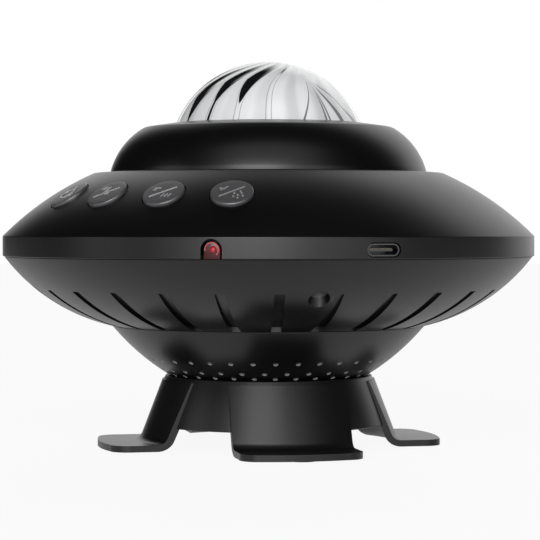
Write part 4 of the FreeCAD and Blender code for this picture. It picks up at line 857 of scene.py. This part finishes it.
class PROJECTOR_OT_ports(bpy.types.Operator):
    """Infrared window, painted glints of its receiver's lens, and the socket's contacts"""
    bl_idname = "projector.ports"
    bl_label = "Ports"
    bl_options = {"REGISTER", "UNDO"}

    def execute(self, context):
        sizes, saucer = context.scene.projector_ports, context.scene.projector_saucer
        azimuth = sizes.window_azimuth
        side_gap, top_gap, window_in, thick = 1.1 * MM, 0.8 * MM, 3.4 * MM, 2.6 * MM
        arch = arch_points(sizes.window_width - side_gap, sizes.window_height - top_gap)
        block = prism(arch, thick, facing(azimuth, saucer.rim - window_in, saucer.seam))
        rims = [e for e in block.edges if e.calc_face_angle(0) > 1]
        bmesh.ops.bevel(block, geom=rims, offset=0.25 * MM, segments=3, profile=0.5, affect="EDGES",
                        material=-1)
        window = to_object("infrared_window", block)
        red = material("window_red", 0.15, Base_Color=sizes.red, IOR=1.49)
        uneven_tint(red, sizes.red)
        dress(window, red, replaced=["ir_window"])
        # The receiver's bead seen through the window is a painted highlight: a bright red bead right of
        # centre, with a painted glint along the bright edge round it
        spot_z, bead_in, aside = 2.5 * MM, 1.1 * MM, 0.35 * MM
        bead = bmesh.new()
        bmesh.ops.create_uvsphere(bead, u_segments=32, v_segments=20, radius=0.95 * MM)
        face = facing(azimuth, saucer.rim - bead_in, saucer.seam + spot_z)
        bmesh.ops.transform(bead, matrix=face @ Matrix.Translation((aside, 0, 0)), verts=bead.verts)
        glint = ring_arc(1.75 * MM, 0.3 * MM, math.radians(-50), math.radians(190), 0.45 * MM)
        bmesh.ops.transform(glint, matrix=face, verts=glint.verts)
        lens = to_object("window_bead_glint", merged([bead, glint]))
        # The bright red of the bead and its edge is a painted highlight
        glint_red = (0.45, 0.012, 0.02)
        glow = material("bead_glint_red", 0.2, Base_Color=glint_red, Coat_Weight=0.5)
        uneven_tint(glow, glint_red)
        dress(lens, glow)
        count, pitch, half, low, high = 12, 0.5 * MM, 0.12 * MM, 0.3 * MM, 0.42 * MM
        place = facing(sizes.socket_azimuth, saucer.rim - 5 * MM, sizes.socket_z)
        contacts = []
        for index in range(count):
            x = (index - (count - 1) / 2) * pitch
            corners = [(x - half, low), (x + half, low), (x + half, high), (x - half, high)]
            contacts.append(prism(corners, 2.8 * MM, place))
        piece = to_object("socket_contacts", merged(contacts))
        gold = grained(material("contact_gold", Base_Color=(0.8, 0.6, 0.25), Metallic=1.0),
                       6000, 0.2, 0.2, 0.3)
        dress(piece, gold)
        return {"FINISHED"}


def uneven_tint(finish, tint):
    """Let a clear colour vary a little through its depth."""
    nodes, links = finish.node_tree.nodes, finish.node_tree.links
    place = nodes.new("ShaderNodeTexCoord")
    cloud = nodes.new("ShaderNodeTexNoise")
    cloud.inputs["Scale"].default_value = 700
    links.new(place.outputs["Object"], cloud.inputs["Vector"])
    tint = blend(finish.node_tree, cloud.outputs["Fac"], [channel * 0.7 for channel in tint],
                 [min(channel * 1.25, 1) for channel in tint])
    links.new(tint, nodes["Principled BSDF"].inputs["Base Color"])


def hole_wall_highlight():
    """Paler walls of the speaker holes: a painted highlight where the walls catch light."""
    return bpy.data.materials.get("hole_wall_highlight") or grained(
        material("hole_wall_highlight", Base_Color=(0.3, 0.3, 0.31)), 6000, 0.3, 0.35, 0.45)


# Radius of a row of speaker holes in millimetres, azimuth of its first hole in degrees, and holes
HOLE_ROWS = ((35.1, 3.2, 36), (31.2, -2, 32), (29, 3.6, 32))


class PROJECTOR_OT_bowl(bpy.types.Operator):
    """Speaker bowl with its rows of holes"""
    bl_idname = "projector.bowl"
    bl_label = "Speaker bowl"
    bl_options = {"REGISTER", "UNDO"}

    def execute(self, context):
        sizes, saucer = context.scene.projector_bowl, context.scene.projector_saucer
        top_r = saucer.bottom - 0.3 * MM
        mouth = 35.5 * MM
        under_top = (41.6 * MM, BOWL_HIGH.z - saucer.wall)
        floor = (26.8 * MM, BOWL_LOW.z + saucer.wall)
        side = arc((sizes.low, BOWL_LOW.z), (top_r, BOWL_HIGH.z), sizes.bulge, steps=32)
        outline = [(0, BOWL_LOW.z), (sizes.low, BOWL_LOW.z)] + side
        outline += [(mouth, BOWL_HIGH.z), (mouth, under_top[1]), under_top]
        outline += arc(under_top, floor, -(sizes.bulge - saucer.wall), steps=16)
        outline += [(0, floor[1])]
        piece = to_object("perforated_bowl", spun(softened(outline, saucer.soft, least=25), steps=224))
        hole_cut = 8 * MM
        cutters = []
        points = [(sizes.low, BOWL_LOW.z)] + side
        for radius, azimuth, count in HOLE_ROWS:
            for (r0, z0), (r1, z1) in zip(points, points[1:]):
                if r0 <= radius * MM <= r1:
                    z = z0 + (z1 - z0) * (radius * MM - r0) / (r1 - r0)
                    lean = math.pi - math.atan2(z1 - z0, r1 - r0)
            for index in range(count):
                here = math.radians(azimuth) + FULL_TURN * index / count
                place = on_slope(here, radius * MM, z, lean) @ Matrix.Translation((0, 0, -hole_cut / 2))
                cutters.append(prism(disc_points(sizes.hole, 14), hole_cut, place))
        piece.data.materials.append(shell_black())
        # The holes' walls take the paler grey of the painted highlight
        carve(piece, cutters, lining=hole_wall_highlight())
        even_normals(piece)
        dress(piece, None, replaced=["speaker_bowl"])
        return {"FINISHED"}


class PROJECTOR_OT_stand(bpy.types.Operator):
    """Conical drum with four bent strip legs"""
    bl_idname = "projector.stand"
    bl_label = "Stand"
    bl_options = {"REGISTER", "UNDO"}

    def execute(self, context):
        sizes = context.scene.projector_stand
        low, top = STAND_LOW.z, STAND_HIGH.z
        drum = [(0, top - sizes.drum_wall), (sizes.drum_top - sizes.drum_wall, top - sizes.drum_wall),
                (sizes.drum_low - sizes.drum_wall, sizes.drum_z), (sizes.drum_low, sizes.drum_z),
                (sizes.drum_top, top), (0, top)]
        edge_soft = 0.3 * MM
        hub = to_object("stand_drum", spun(softened(drum, edge_soft, least=25)))
        dress(hub, stand_black(), replaced=["stand"])
        leg_top = top - 1 * MM
        slant = (sizes.leg_low - sizes.leg_top) / (leg_top - low)
        across = sizes.leg_wall * math.sqrt(1 + slant * slant)
        foot_top = low + sizes.leg_wall
        outer_corner = (sizes.leg_low - slant * sizes.leg_wall, foot_top)
        inner_corner = (sizes.leg_low - across, low)
        end = sizes.reach + 3 * MM
        outer_top, inner_top = (sizes.leg_top, leg_top), (sizes.leg_top - across, leg_top)
        strip = [outer_top]
        strip += eased(outer_top, outer_corner, (end, foot_top), sizes.bend, steps=10)
        strip += [(end, foot_top), (end, low)]
        strip += eased((end, low), inner_corner, inner_top, sizes.bend + sizes.leg_wall, steps=12)
        strip += [inner_top]
        half, corner = sizes.leg_width / 2, sizes.corner
        end_y = math.sqrt(sizes.reach ** 2 - half ** 2)
        corner_x = half - corner
        tip_y = math.sqrt(sizes.reach ** 2 - corner_x ** 2)
        # A leg seen from above: straight sides, round corners and an end that follows the feet's circle
        start, side_y, corner_r = -15 * MM, -(end_y - corner), corner * 1.05
        plan = [(-half, start), (-half, side_y)]
        plan += arc((-half, side_y), (-corner_x, -tip_y), corner_r, steps=8)
        plan += arc((-corner_x, -tip_y), (corner_x, -tip_y), sizes.reach)
        plan += arc((corner_x, -tip_y), (half, side_y), corner_r, steps=8)
        plan += [(half, start)]
        plan_height, plan_low = 30 * MM, Matrix.Translation((0, 0, -5 * MM))
        for index, name in enumerate(("front", "right", "back", "left")):
            leg = to_object(f"{name}_leg", spun(strip, steps=256))
            carve(leg, [prism(plan, plan_height, plan_low)], "INTERSECT")
            leg.data.transform(Matrix.Rotation(sizes.azimuth + index * math.pi / 2, 4, "Z"))
            edge = leg.modifiers.new("Edge", "BEVEL")
            edge.width = edge_soft
            edge.segments = 3
            edge.limit_method = "ANGLE"
            edge.angle_limit = math.radians(50)
            even_normals(leg)
            dress(leg, stand_black())
        return {"FINISHED"}


# Name, colour, metallic, scale and strength of the grain, least and most roughness, and nodes
INNER_FINISHES = (
    ("bright_metal", (0.6, 0.6, 0.61), 1.0, 5000, 0.3, 0.25, 0.38, ("motor", "motor_shaft")),
    ("socket_metal", (0.13, 0.13, 0.135), 1.0, 5000, 0.2, 0.3, 0.4, ("usb_socket",)),
    ("zinc", (0.5, 0.52, 0.55), 1.0, 4000, 0.3, 0.3, 0.45,
     tuple(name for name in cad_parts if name.endswith("_screws"))),
    ("brass", (0.75, 0.58, 0.25), 1.0, 4000, 0.3, 0.25, 0.4, ("laser_module",)),
    ("alloy", (0.72, 0.73, 0.74), 1.0, 4000, 0.3, 0.35, 0.5, ("heat_sink",)),
    ("white_plastic", (0.78, 0.78, 0.76), 0.0, 3000, 0.3, 0.4, 0.5,
     ("chassis", "wheel_post", "motor_pinion")),
    ("dark_plastic", (0.03, 0.03, 0.032), 0.0, 3000, 0.3, 0.4, 0.5,
     ("ir_receiver", "grating_cap", "speaker_frame", "tact_switches",
      *[f"{name}_plunger" for name in KEYS])),
    ("solder_mask", (0.02, 0.16, 0.07), 0.0, 2500, 0.3, 0.3, 0.45,
     ("port_board", "main_board", "led_board")),
    ("key_film", (0.4, 0.2, 0.05), 0.0, 2500, 0.2, 0.25, 0.4, ("key_strip",)),
    ("pressed_paper", (0.035, 0.035, 0.035), 0.0, 1800, 0.9, 0.7, 0.9, ("speaker_cone",)),
    ("ferrite", (0.06, 0.06, 0.062), 0.0, 2500, 0.5, 0.45, 0.65, ("speaker_magnet",)),
    ("soft_pad", (0.02, 0.02, 0.02), 0.0, 3500, 0.6, 0.7, 0.85, ("speaker_gasket", "foot_pads")),
    ("lamp_phosphor", (0.85, 0.75, 0.35), 0.0, 3000, 0.3, 0.4, 0.5, ("leds",)),
)
CLEAR_OPTICS = ("led_lens", "star_grating", "ripple_wheel")


class PROJECTOR_OT_inner_finishes(bpy.types.Operator):
    """Finishes of the CAD nodes that keep their shape"""
    bl_idname = "projector.inner_finishes"
    bl_label = "Inner finishes"
    bl_options = {"REGISTER", "UNDO"}

    def execute(self, context):
        for title, tint, metallic, scale, bump, smooth, rough, names in INNER_FINISHES:
            finish = material(title, Base_Color=tint, Metallic=metallic)
            grained(finish, scale, bump, smooth, rough)
            for name in names:
                coat_node(name, finish)
        clear = material("clear_optic", 0.1, Base_Color=(0.9, 0.93, 0.95), Transmission_Weight=0.7,
                         IOR=1.49)
        grained(clear, 1500, 0.2, 0.08, 0.16)
        for name in CLEAR_OPTICS:
            coat_node(name, clear)
        return {"FINISHED"}


class PROJECTOR_OT_stage(bpy.types.Operator):
    """Pale floor, soft lights and the camera"""
    bl_idname = "projector.stage"
    bl_label = "Stage"
    bl_options = {"REGISTER", "UNDO"}

    def execute(self, context):
        look = context.scene.projector_stage
        scene = context.scene
        scene.view_settings.view_transform = "Standard"
        bm = bmesh.new()
        bmesh.ops.create_grid(bm, x_segments=4, y_segments=4, size=look.floor_size)
        floor = to_object("floor", bm)
        floor.data.materials.append(floor_white(look))
        world = bpy.data.worlds.new("Studio")
        scene.world = world
        world.use_nodes = True
        studio_world(world.node_tree)
        softbox = bpy.data.lights.new("front_softbox", "AREA")
        softbox.shape = "RECTANGLE"
        softbox.size = softbox.size_y = look.softbox
        softbox.energy = look.softbox_power
        lamp = bpy.data.objects.new("front_softbox", softbox)
        lamp.location = (-0.2, -1.5, 0.55)
        aim = Vector((0, 0, 60 * MM)) - lamp.location
        lamp.rotation_euler = aim.to_track_quat("-Z", "Y").to_euler()
        scene.collection.objects.link(lamp)
        data = bpy.data.cameras.new("photo_camera")
        data.sensor_width = 36
        data.lens = look.lens
        data.shift_x = look.shift
        data.clip_end = 20
        camera = bpy.data.objects.new("photo_camera", data)
        camera.location = (0, -look.distance, look.eye)
        camera.rotation_euler = (math.pi / 2 - look.pitch, 0, 0)
        scene.collection.objects.link(camera)
        scene.camera = camera
        return {"FINISHED"}


def floor_white(look):
    """Pale floor, mostly white to the camera, that keeps the object's shadow."""
    finish = grained(material("floor_white", 0.6, Base_Color=look.floor), 300, 0.02, 0.55, 0.65)
    tree = finish.node_tree
    white = tree.nodes.new("ShaderNodeEmission")
    white.inputs["Color"].default_value = (1, 1, 1, 1)
    mix = tree.nodes.new("ShaderNodeMixShader")
    tree.links.new(seen_rays(tree, look.floor_seen, look.floor_gloss), mix.inputs["Fac"])
    tree.links.new(tree.nodes["Principled BSDF"].outputs[0], mix.inputs[1])
    tree.links.new(white.outputs[0], mix.inputs[2])
    tree.links.new(mix.outputs[0], tree.nodes["Material Output"].inputs["Surface"])
    return finish


def seen_rays(tree, seen, gloss):
    """Share of white for rays from the camera or through glass, and for gloss, less on the left."""
    path = tree.nodes.new("ShaderNodeLightPath")
    direct = calc(tree, "MAXIMUM", path.outputs["Is Camera Ray"], path.outputs["Is Transmission Ray"])
    x = split_coordinates(tree, "Object")[0]
    mirrored = calc(tree, "MULTIPLY", path.outputs["Is Glossy Ray"], gloss)
    mirrored = calc(tree, "MULTIPLY", mirrored, calc(tree, "ADD", rising(tree, x, -0.24, -0.06), 0.12))
    return calc(tree, "MAXIMUM", calc(tree, "MULTIPLY", direct, seen), mirrored)


def studio_world(tree):
    """A dark studio: a white backdrop behind, soft lights in front, high in front and on the left."""
    tree.nodes.clear()
    x, y, z = split_coordinates(tree, "Generated")
    forward, leftward = calc(tree, "MULTIPLY", y, -1), calc(tree, "MULTIPLY", x, -1)
    front = calc(tree, "MULTIPLY", rising(tree, forward, 0.45, 0.98), falling(tree, z, 0.3, 0.75))
    back = calc(tree, "MULTIPLY", rising(tree, y, 0.35, 0.65), rising(tree, x, -0.42, -0.2))
    back = calc(tree, "MULTIPLY", back, falling(tree, z, 0.62, 0.88))
    high = calc(tree, "MULTIPLY", rising(tree, forward, 0.15, 0.45),
                falling(tree, calc(tree, "ABSOLUTE", x), 0.25, 0.7))
    high = calc(tree, "MULTIPLY", high, rising(tree, z, 0.35, 0.6))
    side = calc(tree, "MULTIPLY", rising(tree, leftward, 0.78, 0.92), rising(tree, forward, -0.05, 0.15))
    side = calc(tree, "MULTIPLY", side, falling(tree, z, 0.35, 0.6))
    glow = back
    for light, strength in ((front, 1.6), (high, 0.7), (side, 0.9)):
        glow = calc(tree, "ADD", glow, calc(tree, "MULTIPLY", light, strength))
    background = tree.nodes.new("ShaderNodeBackground")
    background.inputs["Color"].default_value = (1, 1, 1, 1)
    tree.links.new(calc(tree, "ADD", glow, 0.012), background.inputs["Strength"])
    out = tree.nodes.new("ShaderNodeOutputWorld")
    tree.links.new(background.outputs[0], out.inputs["Surface"])


class PROJECTOR_PT_pieces(bpy.types.Panel):
    """Buttons that build the projector's pieces"""
    bl_idname = "PROJECTOR_PT_pieces"
    bl_label = "Star projector"
    bl_space_type = "VIEW_3D"
    bl_region_type = "UI"
    bl_category = "Projector"

    def draw(self, context):
        for maker in MAKERS:
            self.layout.operator(maker.bl_idname)


MAKERS = (
    PROJECTOR_OT_stage,
    PROJECTOR_OT_upper_shell,
    PROJECTOR_OT_lower_shell,
    PROJECTOR_OT_collar,
    PROJECTOR_OT_dome,
    PROJECTOR_OT_keys,
    PROJECTOR_OT_ports,
    PROJECTOR_OT_bowl,
    PROJECTOR_OT_stand,
    PROJECTOR_OT_inner_finishes,
)


def register():
    for group in GROUPS.values():
        bpy.utils.register_class(group)
    for name, group in GROUPS.items():
        setattr(bpy.types.Scene, name, PointerProperty(type=group))
    for maker in MAKERS:
        bpy.utils.register_class(maker)
    bpy.utils.register_class(PROJECTOR_PT_pieces)


def unregister():
    bpy.utils.unregister_class(PROJECTOR_PT_pieces)
    for maker in reversed(MAKERS):
        bpy.utils.unregister_class(maker)
    for name, group in reversed(GROUPS.items()):
        delattr(bpy.types.Scene, name)
        bpy.utils.unregister_class(group)


def main():
    register()
    for maker in MAKERS:
        family, name = maker.bl_idname.split(".")
        getattr(getattr(bpy.ops, family), name)()


if __name__ == "__main__":
    main()
